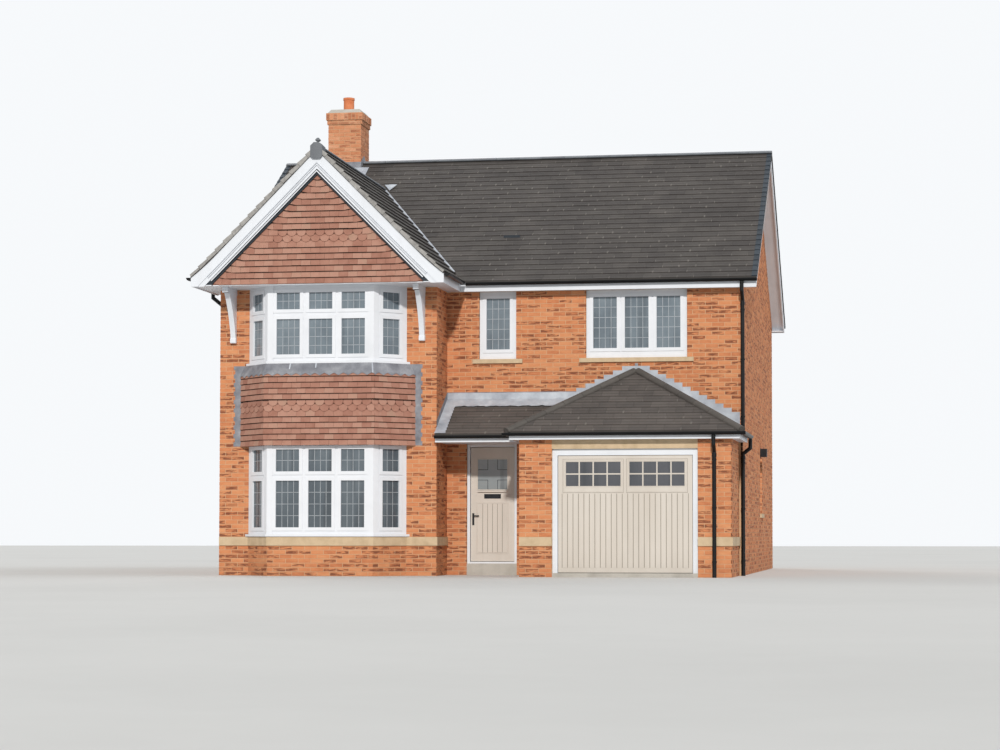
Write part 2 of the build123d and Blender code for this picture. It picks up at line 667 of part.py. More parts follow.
def bay_post(side, z):
    """Corner post, standing proud of both faces of the bay's frame at one angle."""
    face = BAY_POST_FACE + BAY_POST_PROUD
    outer = canted_line(BAY_POST_PROUD)[1 if side < 0 else 2]
    inner = canted_line(0.0)[1 if side < 0 else 2]
    slant = face / math.sqrt(2)
    drop = BAY_POST_PROUD / math.sqrt(2)
    outline = [inner, (inner[0] - side * face, inner[1]), (inner[0] - side * face, outer[1]),
               outer, (inner[0] + side * (slant + drop), inner[1] + slant - drop),
               (inner[0] + side * slant, inner[1] + slant)]
    return along_z([(GABLE_MID + x, GABLE_FRONT + y) for x, y in outline], z)


def bay_frame(foot, head, heights):
    """Window frame round the bay for one storey, with its sill, posts, sashes and panes."""
    frame = canted_band(0.0, -BAY_FRAME_DEPTH, (foot, head))
    for side in (-1, 1):
        frame = frame.fuse(bay_post(side, (foot, head)))
    for ring in bay_light_boxes((-SASH_PROUD, 0.0), SASH_FACE, heights):
        frame = frame.fuse(ring)
    for hole in bay_light_boxes((-2 * SASH_PROUD, 2 * BAY_FRAME_DEPTH), 0.0, heights):
        frame = frame.cut(hole)
    sill = canted_band(BAY_SILL_PROUD, 0.0, (foot, foot + BAY_SILL_THICK))
    panes = bay_light_boxes((GLASS_SET, GLASS_SET + GLASS_THICK), 0.0, heights)
    return frame.fuse(sill), panes


def make_bay():
    """Two-storey canted bay: brick base, two window storeys, tile-hung skirt and lead apron."""
    keep("bay_base_wall", canted_band(0.0, -BAY_BASE_DEPTH, (0.0, BAY_SILL_LEVEL)))
    lower, lower_panes = bay_frame(BAY_SILL_LEVEL, BAY_HEAD_LEVEL, (LOWER_LIGHT, LOWER_TOP_LIGHT))
    upper, upper_panes = bay_frame(BAY_APRON_TOP, SOFFIT_LEVEL, (UPPER_LIGHT, UPPER_TOP_LIGHT))
    keep("bay_window_frames", lower, upper)
    keep("bay_glass", *lower_panes, *upper_panes)
    skirt = canted_band(BAY_SKIRT_PROUD, -BAY_BASE_DEPTH, (BAY_HEAD_LEVEL, BAY_SKIRT_TOP))
    keep("bay_skirt", skirt)
    low = Face(Wire.make_polygon([Vector(x, y, BAY_SKIRT_TOP)
                                  for x, y in canted_outline(BAY_SKIRT_PROUD, -BAY_BASE_DEPTH)]))
    high = Face(Wire.make_polygon([Vector(x, y, BAY_APRON_TOP)
                                   for x, y in canted_outline(BAY_SILL_PROUD, -BAY_BASE_DEPTH)]))
    keep("bay_apron", Solid.make_loft([low.outer_wire(), high.outer_wire()], ruled=True))


def bay_side_lead(side):
    """Stepped lead up one side of the skirt and apron, cut to the courses it tucks into."""
    foot = canted_line(BAY_SKIRT_PROUD)[3][0]
    steps = math.ceil((BAY_APRON_TOP - BAY_HEAD_LEVEL) / COURSE)
    points = [(foot, BAY_HEAD_LEVEL)]
    for number in range(steps):
        low = BAY_HEAD_LEVEL + number * COURSE
        reach = foot + BAY_LEAD_WIDTH - (COURSE / 3 if number % 2 else 0.0)
        points += [(reach, low), (reach, min(low + COURSE, BAY_APRON_TOP))]
    points += [(canted_line(BAY_SILL_PROUD)[3][0], BAY_APRON_TOP), (foot, BAY_SKIRT_TOP)]
    outline = [(GABLE_MID + side * x, z) for x, z in points]
    return along_y(outline, (GABLE_FRONT - LEAD, GABLE_FRONT))


def make_gable_front():
    """Tile-hung panel of the jettied gable, its bargeboards and the dark strip inside them."""
    peak = gable_level(0.0, GABLE_ROOF_DEPTH)
    half = peak - SOFFIT_TOP
    outline = [(GABLE_MID - half, SOFFIT_TOP), (GABLE_MID + half, SOFFIT_TOP), (GABLE_MID, peak)]
    keep("gable_tile_panel", along_y(outline, (PANEL_FRONT, PANEL_FRONT + PANEL_DEPTH)))
    boards = []
    for side in (-1, 1):
        board = barge_profile(side, BARGE_DEPTH, (BARGE_FRONT + BARGE_MOULD, BARGE_BACK))
        mould = barge_profile(side, BARGE_MOULD_DEPTH, (BARGE_FRONT, BARGE_FRONT + BARGE_MOULD))
        boards.append(board.fuse(mould))
    keep("gable_bargeboards", boards[0].fuse(boards[1]))
    low = SOFFIT_TOP
    reach = trim_reach()
    inner = low + reach
    drop = VERGE_TRIM_DEPTH
    strip = [(GABLE_MID - reach, low), (GABLE_MID, inner), (GABLE_MID + reach, low),
             (GABLE_MID + reach - drop, low), (GABLE_MID, inner - drop),
             (GABLE_MID - reach + drop, low)]
    keep("gable_verge_trim", along_y(strip, (BARGE_BACK, PANEL_FRONT)))


def trim_reach():
    """Distance from the gable's middle to the outer foot of the dark strip, at the soffit."""
    return gable_level(0.0, BARGE_TILE_GAP + BARGE_DEPTH - VERGE_TRIM_LAP) - SOFFIT_TOP


def barge_profile(side, depth, y):
    """Half of a bargeboard: under the tiles outside, straight inside, level at its foot."""
    foot = SOFFIT_LEVEL - FASCIA_DROP
    inner = gable_level(0.0, BARGE_TILE_GAP + depth)
    points = [(GABLE_EAVE_REACH, foot), (inner - foot, foot), (0.0, inner)]
    face = gable_slope(side, points, BARGE_TILE_GAP)
    return Pos(0, y[0] - GABLE_VERGE, 0) * Solid.extrude(face, Vector(0, y[1] - y[0], 0))


def make_brackets():
    """Pair of curved timber brackets that carry the jetty from the gable wall."""
    solids = []
    top = SOFFIT_LEVEL
    foot = top - BRACKET_HEIGHT
    wall = GABLE_FRONT
    toe = wall - BRACKET_FOOT
    nose = wall - BRACKET_REACH
    chin = top - BRACKET_HEAD
    throat_y = nose + BRACKET_HEAD
    middle = Vector(0, toe - BRACKET_ARC_OUT, chin - BRACKET_ARC_DOWN)
    for x in (LEFT + BRACKET_INSET, GABLE_RIGHT - BRACKET_INSET):
        corners = [(toe, foot + BRACKET_FOOT), (toe, foot), (wall, foot), (wall, top),
                   (nose, top), (nose, chin), (throat_y, chin)]
        points = [Vector(0, y, z) for y, z in corners]
        edges = [Edge.make_line(a, b) for a, b in zip(points, points[1:])]
        edges.append(Edge.make_three_point_arc(points[-1], middle, points[0]))
        shape = Solid.extrude(Face(Wire(edges)), Vector(BRACKET_WIDTH, 0, 0))
        solids.append(Pos(x - BRACKET_WIDTH / 2, 0, 0) * shape)
    keep("jetty_brackets", *solids)


def main_slope_outline(side):
    """(y, z) outline of a main roof slope over the walls, on the front (-1) or rear (1)."""
    fascia_top = main_level(FASCIA_FACE, TILE_DEPTH)
    points = [(EAVE_RUN, main_level(EAVE_RUN)), (0.0, main_level(0.0)),
              (0.0, main_level(0.0, MAIN_ROOF_DEPTH)),
              (FASCIA_BACK, main_level(FASCIA_BACK, MAIN_ROOF_DEPTH)),
              (FASCIA_BACK, fascia_top), (FASCIA_FACE, fascia_top),
              (EAVE_RUN, main_level(EAVE_RUN, TILE_TAIL))]
    return [(side * y, z) for y, z in points]


def main_tiles_outline(side):
    """(y, z) outline of the tile layer alone, which runs on over the verge boards."""
    points = [(EAVE_RUN, main_level(EAVE_RUN)), (0.0, main_level(0.0)),
              (0.0, main_level(0.0, TILE_DEPTH)),
              (FASCIA_FACE, main_level(FASCIA_FACE, TILE_DEPTH)),
              (EAVE_RUN, main_level(EAVE_RUN, TILE_TAIL))]
    return [(side * y, z) for y, z in points]


def main_slope(side):
    """One slope of the main roof: rafters between the verge boards, tiles to the verges."""
    rafters = along_x(main_slope_outline(side), (-VERGE_BOARD_BACK, VERGE_BOARD_BACK))
    tiles = along_x(main_tiles_outline(side), (VERGE_LEFT, VERGE_RIGHT))
    return rafters.fuse(tiles)


def chimney_box(top):
    """Plan of the chimney shaft, from under the roof to a level."""
    x = (CHIMNEY_LEFT, CHIMNEY_LEFT + CHIMNEY_WIDTH)
    y = (CHIMNEY_FRONT, CHIMNEY_FRONT + CHIMNEY_DEPTH)
    return block(x, y, (CEILING_TOP, top))


def make_main_roof():
    """Front and rear slopes of the main roof, the front one notched for the gable's roof."""
    keep("main_roof_front", main_slope(-1).cut(gable_envelope()))
    keep("main_roof_rear", main_slope(1))


def make_gable_roof():
    """Left and right slopes of the front gable roof, running back to the valleys."""
    run = Vector(0, gable_back() - GABLE_VERGE, 0)
    peak = gable_level(0.0, GABLE_ROOF_DEPTH)
    tile_foot = KICK_TIP_LEVEL - TILE_TAIL
    foot = [(GABLE_EAVE_REACH, tile_foot), (KICK_FASCIA_BACK, tile_foot),
            (KICK_FASCIA_BACK, SOFFIT_TOP), (peak - SOFFIT_TOP, SOFFIT_TOP), (0.0, peak)]
    drip = GABLE_VERGE + VERGE_TILE_DRIP + BARGE_MOULD + BARGE_THICK
    behind_board = block((VERGE_LEFT - GABLE_EAVE_REACH, RIGHT), (GABLE_VERGE, drip),
                         (0.0, GABLE_RIDGE_LEVEL))
    for name, side in (("gable_roof_left", -1), ("gable_roof_right", 1)):
        slab = Solid.extrude(gable_slope(side, foot), run)
        slab = slab.cut(behind_board)
        crest = gable_verge_tiles(side, drip)
        keep(name, slab.fuse(crest).cut(main_attic()))


def gable_verge_tiles(side, back):
    """Tile edge that covers the bargeboard, between the roof surface and the board's top."""
    whole = Solid.extrude(gable_slope(side, [(GABLE_EAVE_REACH, SOFFIT_LEVEL), (0.0, SOFFIT_LEVEL)]),
                          Vector(0, back - GABLE_VERGE, 0))
    under = Solid.extrude(gable_slope(side, [(GABLE_EAVE_REACH, SOFFIT_LEVEL), (0.0, SOFFIT_LEVEL)],
                                      BARGE_TILE_GAP), Vector(0, back - GABLE_VERGE, 0))
    return whole.cut(under)


def make_eaves():
    """Soffits and fascias of every eave, and the boards of the four verges."""
    low_fascias, low_soffits = low_boards()
    keep("soffits", front_soffit(), rear_soffit(), *low_soffits)
    gable_tails = block((GABLE_MID, GABLE_MID + GABLE_EAVE_REACH), (-EAVE_RUN, FRONT),
                        (KICK_TIP_LEVEL - TILE_TAIL, KICK_TIP_LEVEL))
    front = main_fascia(-1).fuse(gable_fascia(1)).cut(gable_tails)
    keep("fascias", front, main_fascia(1), gable_fascia(-1), low_fascias)
    ends = []
    for end in (-1, 1):
        pieces = [verge_board(end, side) for side in (-1, 1)]
        pieces += [verge_soffit(end, side) for side in (-1, 1)]
        whole = pieces[0].fuse(*pieces[1:])
        ends.append(largest(whole.cut(gable_envelope())))
    keep("verge_boards", *ends)


def front_soffit():
    """Soffit under the jetty, the gable's eaves and the main front eave, in one plane."""
    z = (SOFFIT_LEVEL, SOFFIT_TOP)
    gable_x = (GABLE_MID - KICK_FASCIA_BACK, GABLE_MID + KICK_FASCIA_BACK)
    side_end = -main_depth_at(SOFFIT_TOP, MAIN_ROOF_DEPTH)
    inner = trim_reach() - VERGE_TRIM_DEPTH
    panel_x = (GABLE_MID - inner, GABLE_MID + inner)
    jetty = block(gable_x, (BARGE_BACK, GABLE_FRONT), z)
    jetty = jetty.cut(block(panel_x, (BARGE_BACK, PANEL_FRONT), z))
    left = block((gable_x[0], LEFT), (GABLE_FRONT, side_end), z)
    right = block((GABLE_RIGHT, gable_x[1]), (GABLE_FRONT, FRONT), z)
    main = block((GABLE_RIGHT, VERGE_BOARD_BACK), (-FASCIA_BACK, FRONT), z)
    return jetty.fuse(left).fuse(right).fuse(main)


def rear_soffit():
    """Soffit under the rear eave, from verge to verge."""
    z = (SOFFIT_LEVEL, SOFFIT_TOP)
    return block((-VERGE_BOARD_BACK, VERGE_BOARD_BACK), (REAR, FASCIA_BACK), z)


def largest(shape):
    """The largest solid of a shape."""
    return max(shape.solids(), key=lambda solid: solid.volume)


def main_fascia(side):
    """Fascia board behind a main gutter; the front one starts at the gable's eave."""
    start = GABLE_MID + KICK_FASCIA_FACE if side < 0 else -VERGE_BOARD_BACK
    top = main_level(FASCIA_FACE, TILE_DEPTH)
    faces = sorted((side * FASCIA_BACK, side * FASCIA_FACE))
    return block((start, VERGE_BOARD_BACK), tuple(faces), (SOFFIT_LEVEL - FASCIA_DROP, top))


def gable_fascia(side):
    """Fascia board under the kicked eave on one side of the gable."""
    faces = sorted((GABLE_MID + side * KICK_FASCIA_BACK, GABLE_MID + side * KICK_FASCIA_FACE))
    end = -FASCIA_BACK if side > 0 else -main_depth_at(SOFFIT_TOP, MAIN_ROOF_DEPTH)
    top = KICK_TIP_LEVEL - TILE_TAIL
    return block(tuple(faces), (BARGE_BACK, end), (SOFFIT_LEVEL - FASCIA_DROP, top))


def verge_board(end, side):
    """Sloping board at one end (-1 left, 1 right) of one slope, with its boxed foot."""
    foot = SOFFIT_LEVEL - FASCIA_DROP
    depth = TILE_DEPTH + VERGE_BOARD_DEPTH
    bottom_run = main_depth_at(foot, depth)
    points = [(FASCIA_FACE, main_level(FASCIA_FACE, TILE_DEPTH)), (0.0, main_level(0.0, TILE_DEPTH)),
              (0.0, main_level(0.0, depth)), (bottom_run, foot), (FASCIA_FACE, foot)]
    faces = sorted((end * VERGE_BOARD_BACK, end * VERGE_BOARD_FACE))
    return along_x([(side * y, z) for y, z in points], tuple(faces))


def verge_soffit(end, side):
    """Sloping board under the rafters of a verge, from the end wall to the verge board."""
    drop = MAIN_ROOF_DEPTH + VERGE_SOFFIT
    points = [(FASCIA_BACK, main_level(FASCIA_BACK, MAIN_ROOF_DEPTH)),
              (0.0, main_level(0.0, MAIN_ROOF_DEPTH)), (0.0, main_level(0.0, drop)),
              (FASCIA_BACK, main_level(FASCIA_BACK, drop))]
    ends = sorted((end * HOUSE_WIDTH / 2, end * VERGE_BOARD_BACK))
    return along_x([(side * y, z) for y, z in points], tuple(ends))


def hipped_roof(drop):
    """Half-hipped pyramid of the garage roof against the wall, its slopes lowered by drop."""
    eave = LOW_EAVE_LEVEL - drop
    apex = LOW_APEX_LEVEL - drop
    sides = along_y([(LOW_EAVE_LEFT, eave), (LOW_EAVE_RIGHT, eave), (GARAGE_MID, apex)],
                    (LOW_EAVE_FRONT, FRONT))
    front = along_x([(LOW_EAVE_FRONT, eave), (FRONT, eave), (FRONT, apex)],
                    (LOW_EAVE_LEFT, LOW_EAVE_RIGHT))
    return sides & front


def low_roof_base(x, y):
    """Flat layer of tile tails under the edge of a low roof, down to its fascia's top."""
    return block(x, y, (LOW_EAVE_LEVEL - TILE_TAIL, LOW_EAVE_LEVEL))


def porch_wedge(drop, x):
    """Lean-to wedge of the porch roof, its slope lowered by drop."""
    eave = LOW_EAVE_LEVEL - drop
    top = PORCH_TOP_LEVEL - drop
    return along_x([(PORCH_EAVE, eave), (FRONT, eave), (FRONT, top)], x)


def make_low_roofs():
    """Hipped garage roof and the porch's lean-to roof beside it."""
    garage_x = (LOW_EAVE_LEFT, LOW_EAVE_RIGHT)
    garage_y = (LOW_EAVE_FRONT, FRONT)
    edge = low_roof_base(garage_x, garage_y)
    shell = hipped_roof(0.0).fuse(edge)
    void = hipped_roof(LOW_ROOF_DEPTH)
    inner = block((GARAGE_LEFT, GARAGE_RIGHT), (GARAGE_FRONT, FRONT),
                  (LOW_SOFFIT_LEVEL, LOW_EAVE_LEVEL))
    keep("garage_roof", shell.cut(void).cut(inner))
    porch_x = (GABLE_RIGHT, LOW_EAVE_RIGHT)
    whole = porch_wedge(0.0, porch_x).fuse(low_roof_base(porch_x, (PORCH_EAVE, FRONT)))
    hollow = porch_wedge(LOW_ROOF_DEPTH, porch_x)
    porch = whole.cut(hollow).cut(hipped_roof(0.0)).cut(edge)
    keep("porch_roof", largest(porch.cut(inner)))


def low_boards():
    """Fascia ring and flat soffits of the garage and porch."""
    board = FASCIA_BOARD
    fascia = LOW_FASCIA_SET
    z = (LOW_SOFFIT_LEVEL - SOFFIT_BOARD / 2, LOW_EAVE_LEVEL - TILE_TAIL)
    left = LOW_EAVE_LEFT + fascia
    right = LOW_EAVE_RIGHT - fascia
    front = LOW_EAVE_FRONT + fascia
    porch = PORCH_EAVE + fascia
    outline = [(left, FRONT), (left, front), (right, front), (right, FRONT),
               (right - board, FRONT), (right - board, front + board),
               (left + board, front + board), (left + board, FRONT)]
    ring = along_z(outline, z)
    porch_front = block((GABLE_RIGHT, left), (porch, porch + board), z)
    soffit_z = (LOW_SOFFIT_LEVEL, LOW_SOFFIT_LEVEL + SOFFIT_BOARD)
    around = [(left + board, FRONT), (left + board, front + board), (right - board, front + board),
              (right - board, FRONT), (GARAGE_RIGHT, FRONT), (GARAGE_RIGHT, GARAGE_FRONT),
              (GARAGE_LEFT, GARAGE_FRONT), (GARAGE_LEFT, FRONT)]
    under_porch = block((GABLE_RIGHT, left), (porch + board, FRONT), soffit_z)
    return ring.fuse(porch_front), (along_z(around, soffit_z), under_porch)


def ridge_cap(half, centre, slope_level):
    """(offset, z) outline of a ridge tile bedded on both slopes, flat-sided here."""
    edge = slope_level(half)
    crown = slope_level(0.0) + RIDGE_TILE_CROWN
    side = edge + RIDGE_TILE_EDGE
    return [(centre - half, edge), (centre - half, side), (centre, crown),
            (centre + half, side), (centre + half, edge), (centre, slope_level(0.0))]


def make_ridges():
    """Ridge tiles of both ridges, hip tiles of the garage roof and the gable's finial."""
    main = along_x(ridge_cap(RIDGE_TILE_HALF, 0.0, main_level), (VERGE_LEFT, VERGE_RIGHT))
    box = chimney_box(SHAFT_TOP)
    ridge = main.cut(box)
    gable_cap = ridge_cap(GABLE_RIDGE_TILE_HALF, GABLE_MID, gable_level)
    valley_top = -main_depth_at(GABLE_RIDGE_LEVEL)
    start = GABLE_VERGE + FINIAL_WIDTH
    cap = along_y(gable_cap, (start, valley_top + RIDGE_TILE_HALF))
    gable = largest(cap.cut(main_slope(-1)))
    hips = hip_cap(-1).fuse(hip_cap(1))
    keep("ridge_tiles", *ridge.solids(), gable, hips)
    keep("gable_finial", finial())


def hip_cap(side):
    """Rounded tiles along one hip of the garage roof, trimmed to the slopes and the wall.

    The section is a regular polygon about the hip line, with HIP_TILE_SIDES sides.
    """
    corner_x = LOW_EAVE_RIGHT if side > 0 else LOW_EAVE_LEFT
    foot = Vector(corner_x, LOW_EAVE_FRONT, LOW_EAVE_LEVEL)
    apex = Vector(GARAGE_MID, FRONT, LOW_APEX_LEVEL)
    run = apex - foot
    early = run * ((HIP_TILE_OVERRUN - 1) / 2)
    section = RegularPolygon(HIP_TILE_RADIUS, HIP_TILE_SIDES)
    rod = extrude(Plane(foot - early, z_dir=run) * section, run.length * HIP_TILE_OVERRUN)
    x = (GARAGE_MID, LOW_EAVE_RIGHT) if side > 0 else (LOW_EAVE_LEFT, GARAGE_MID)
    bounds = block(x, (LOW_EAVE_FRONT, FRONT - LEAD), (LOW_EAVE_LEVEL, SOFFIT_LEVEL))
    return largest((rod & bounds).cut(hipped_roof(0.0)))


def finial():
    """Block end tile with a plate in front of the boards' meeting and a turned knob on top."""
    half = FINIAL_WIDTH / 2
    level = gable_level(half)
    crown = GABLE_RIDGE_LEVEL + RIDGE_TILE_CROWN + FINIAL_RISE
    shoulder = crown - FINIAL_CHAMFER
    flat = half - FINIAL_CHAMFER
    outline = [(GABLE_MID - half, level), (GABLE_MID - half, shoulder),
               (GABLE_MID - flat, crown), (GABLE_MID + flat, crown),
               (GABLE_MID + half, shoulder), (GABLE_MID + half, level),
               (GABLE_MID, GABLE_RIDGE_LEVEL)]
    body = along_y(outline, (GABLE_VERGE, GABLE_VERGE + FINIAL_WIDTH))
    foot = crown - FINIAL_PLATE_DROP
    taper = FINIAL_PLATE_TAPER
    head = outline[:-1]
    plate = [(GABLE_MID - half + taper, foot), (GABLE_MID - half, foot + taper)] + head[1:-1]
    plate += [(GABLE_MID + half, foot + taper), (GABLE_MID + half - taper, foot)]
    front = along_y(plate, (GABLE_VERGE - FINIAL_PLATE, GABLE_VERGE))
    knob = Pos(GABLE_MID, GABLE_VERGE + half, crown) * knob_block()
    return body.fuse(front).fuse(knob)


def knob_block():
    """Knob with the same outline from the front and from the side: a neck, then a ball."""
    bulge = (KNOB_HEIGHT - KNOB_NECK_HEIGHT) / 2
    half = [(KNOB_STEM, 0.0), (KNOB_STEM / 2, KNOB_NECK_HEIGHT / 2),
            (KNOB_RADIUS, KNOB_NECK_HEIGHT), (KNOB_RADIUS, KNOB_NECK_HEIGHT + bulge),
            (KNOB_STEM / 2, KNOB_HEIGHT + bulge)]
    outline = half + [(-r, z) for r, z in reversed(half)]
    reach = (-KNOB_RADIUS, KNOB_RADIUS)
    return (along_x(outline, reach) & along_y(outline, reach)).solid()


def make_chimney():
    """Brick stack astride the ridge with two corbels, capping and pot."""
    attic = main_slope(-1).fuse(main_slope(1)).fuse(main_attic())
    shaft = chimney_box(SHAFT_TOP).cut(attic)
    x0 = CHIMNEY_LEFT
    y0 = CHIMNEY_FRONT
    levels = [(CORBEL_STEP, CORBEL_HEIGHT), (2 * CORBEL_STEP, UPPER_CORBEL_HEIGHT)]
    foot = SHAFT_TOP
    stack = largest(shaft)
    for step, height in levels:
        layer = block((x0 - step, x0 + CHIMNEY_WIDTH + step), (y0 - step, y0 + CHIMNEY_DEPTH + step),
                      (foot, foot + height))
        stack = stack.fuse(layer)
        foot += height
    keep("chimney_stack", stack)
    middle = Pos(x0 + CHIMNEY_WIDTH / 2, y0 + CHIMNEY_DEPTH / 2, foot)
    keep("chimney_capping", middle * capping())
    keep("chimney_pot", middle * Pos(0, 0, CAPPING_HEIGHT) * chimney_pot())


def capping():
    """Weathered top of the stack: sides sloping in to a smaller flat top."""
    half_x = CHIMNEY_WIDTH / 2 + CORBEL_STEP
    half_y = CHIMNEY_DEPTH / 2 + CORBEL_STEP
    fall = CAPPING_FALL
    across = along_y([(-half_x, 0.0), (half_x, 0.0), (half_x - fall, CAPPING_HEIGHT),
                      (-half_x + fall, CAPPING_HEIGHT)], (-half_y, half_y))
    along = along_x([(-half_y, 0.0), (half_y, 0.0), (half_y - fall, CAPPING_HEIGHT),
                     (-half_y + fall, CAPPING_HEIGHT)], (-half_x, half_x))
    return (across & along).solid()


def chimney_pot():
    """Round pot with a proud rim and a straight bore."""
    inner = POT_RADIUS - POT_WALL
    rim = POT_RADIUS + POT_RIM_PROUD
    profile = [(inner, 0.0), (POT_RADIUS, 0.0), (POT_RADIUS, POT_HEIGHT - POT_RIM_HEIGHT),
               (rim, POT_HEIGHT - POT_RIM_HEIGHT), (rim, POT_HEIGHT), (inner, POT_HEIGHT)]
    face = Face(Wire.make_polygon([Vector(r, 0, z) for r, z in profile]))
    return Solid.revolve(face, 360, Axis.Z)


def gutter(start, end):
    """Half-round gutter with stopped ends; the points are its rim's centre line."""
    run = Vector(*end) - Vector(*start)
    lower = Rectangle(2 * GUTTER_RADIUS, GUTTER_RADIUS)
    outer = Circle(GUTTER_RADIUS) & Pos(0, GUTTER_RADIUS / 2) * lower
    inner = Circle(GUTTER_RADIUS - GUTTER_WALL) & Pos(0, GUTTER_RADIUS / 2) * lower
    side = run.cross(Vector(0, 0, 1))
    across = Plane(origin=start, x_dir=side, z_dir=run)
    shift = Plane(origin=Vector(*start) + run.normalized() * GUTTER_WALL, x_dir=side, z_dir=run)
    trough = extrude(across * outer, run.length)
    hollow = extrude(shift * inner, run.length - 2 * GUTTER_WALL)
    return (trough - hollow).solid()


def gutter_set():
    """Distance from a fascia's face to the gutter's centre line."""
    return GUTTER_RADIUS + GUTTER_GAP


def make_gutters():
    """Gutters of the main, gable, garage and porch eaves."""
    main_y = FASCIA_FACE + gutter_set()
    main_z = main_level(EAVE_RUN, TILE_TAIL) - GUTTER_DROP
    gable_x = KICK_FASCIA_FACE + gutter_set()
    gable_z = KICK_TIP_LEVEL - TILE_TAIL - GUTTER_DROP
    valley_x = GABLE_MID + gable_x + gutter_set()
    front = gutter((valley_x, -main_y, main_z), (VERGE_RIGHT, -main_y, main_z))
    rear = gutter((VERGE_LEFT, main_y, main_z), (VERGE_RIGHT, main_y, main_z))
    left_end = -main_depth_at(SOFFIT_TOP, MAIN_ROOF_DEPTH)
    start = BARGE_BACK + GUTTER_GAP
    left = gutter((GABLE_MID - gable_x, start, gable_z), (GABLE_MID - gable_x, left_end, gable_z))
    right = gutter((GABLE_MID + gable_x, start, gable_z),
                   (GABLE_MID + gable_x, -EAVE_RUN - GUTTER_RADIUS, gable_z))
    z = LOW_EAVE_LEVEL - TILE_TAIL - GUTTER_DROP
    low_front = LOW_EAVE_FRONT + LOW_FASCIA_SET - gutter_set()
    low_left = LOW_EAVE_LEFT + LOW_FASCIA_SET - gutter_set()
    low_right = LOW_EAVE_RIGHT - LOW_FASCIA_SET + gutter_set()
    porch_y = PORCH_EAVE + LOW_FASCIA_SET - gutter_set()
    corner = gutter_set()
    garage_front = gutter((low_left - corner, low_front, z), (low_right + corner, low_front, z))
    garage_left = gutter((low_left, low_front + corner, z), (low_left, porch_y - corner, z))
    garage_right = gutter((low_right, low_front + corner, z), (low_right, FRONT - GUTTER_GAP, z))
    porch = gutter((GABLE_RIGHT + GUTTER_GAP, porch_y, z), (low_left + corner, porch_y, z))
    keep("gutters", front, rear, left, right, garage_front, garage_left, garage_right, porch)


def pipe(points):
    """Pipe along straight runs mitred at each bend, with a socket under the last bend.

    The round section is a regular polygon with PIPE_SIDES sides, which keeps the bends plain.
    """
    runs = [Edge.make_line(Vector(*a), Vector(*b)) for a, b in zip(points, points[1:])]
    start = Vector(*points[0])
    across = Plane(origin=start, z_dir=Vector(*points[1]) - start)
    section = across * RegularPolygon(PIPE_RADIUS, PIPE_SIDES)
    tube = sweep(section, path=Wire(runs), transition=Transition.RIGHT).solid()
    x, y, z = points[-2]
    top = z - PIPE_RADIUS
    foot = Plane((x, y, top - PIPE_SOCKET_HEIGHT))
    collar = extrude(foot * RegularPolygon(PIPE_RADIUS + PIPE_SOCKET, PIPE_SIDES),
                     PIPE_SOCKET_HEIGHT)
    return tube.fuse(collar.solid()).solid()


def swan_neck(outlet, wall_point, end=0.0):
    """Downpipe that drops from a gutter outlet, slants back to the wall and falls to its end."""
    ox, oy, oz = outlet
    wx, wy = wall_point
    slant = math.hypot(wx - ox, wy - oy)
    bend = oz - PIPE_OUTLET_DROP
    return pipe([(ox, oy, oz), (ox, oy, bend), (wx, wy, bend - slant * PIPE_SLANT_FALL),
                 (wx, wy, end)])


def make_downpipes():
    """Downpipes of the main, gable and garage roofs.

    The main front pipe ends over the garage roof, and a second one takes the low gutter down.
    """
    set_off = PIPE_RADIUS + PIPE_WALL_GAP
    outlet_drop = TILE_TAIL + GUTTER_DROP + GUTTER_RADIUS + GUTTER_GAP
    main_y = FASCIA_FACE + gutter_set()
    main_z = main_level(EAVE_RUN) - outlet_drop
    corner_x = RIGHT + CORNER_PIPE_OUT
    roof_below = LOW_EAVE_LEVEL + LOW_SIDE_PITCH * (LOW_EAVE_RIGHT - corner_x + PIPE_RADIUS)
    wall_y = FRONT - set_off
    front = swan_neck((corner_x, -main_y, main_z), (corner_x, wall_y), roof_below + PIPE_SHOE_GAP)
    rear = swan_neck((corner_x - 2 * set_off, main_y, main_z), (corner_x - 2 * set_off, REAR + set_off))
    gable_x = GABLE_MID - KICK_FASCIA_FACE - gutter_set()
    gable_y = GABLE_FRONT + GABLE_PIPE_SET
    gable = swan_neck((gable_x, gable_y, KICK_TIP_LEVEL - outlet_drop), (LEFT - set_off, gable_y))
    low_z = LOW_EAVE_LEVEL - outlet_drop
    low_y = LOW_EAVE_FRONT + LOW_FASCIA_SET - gutter_set()
    low_x = GARAGE_RIGHT - GARAGE_PIER / 2
    garage = swan_neck((low_x, low_y, low_z), (low_x, GARAGE_FRONT - set_off))
    side_x = LOW_EAVE_RIGHT - LOW_FASCIA_SET + gutter_set()
    corner = swan_neck((side_x, wall_y, low_z), (corner_x, wall_y))
    keep("downpipes", front, rear, gable, garage, corner)


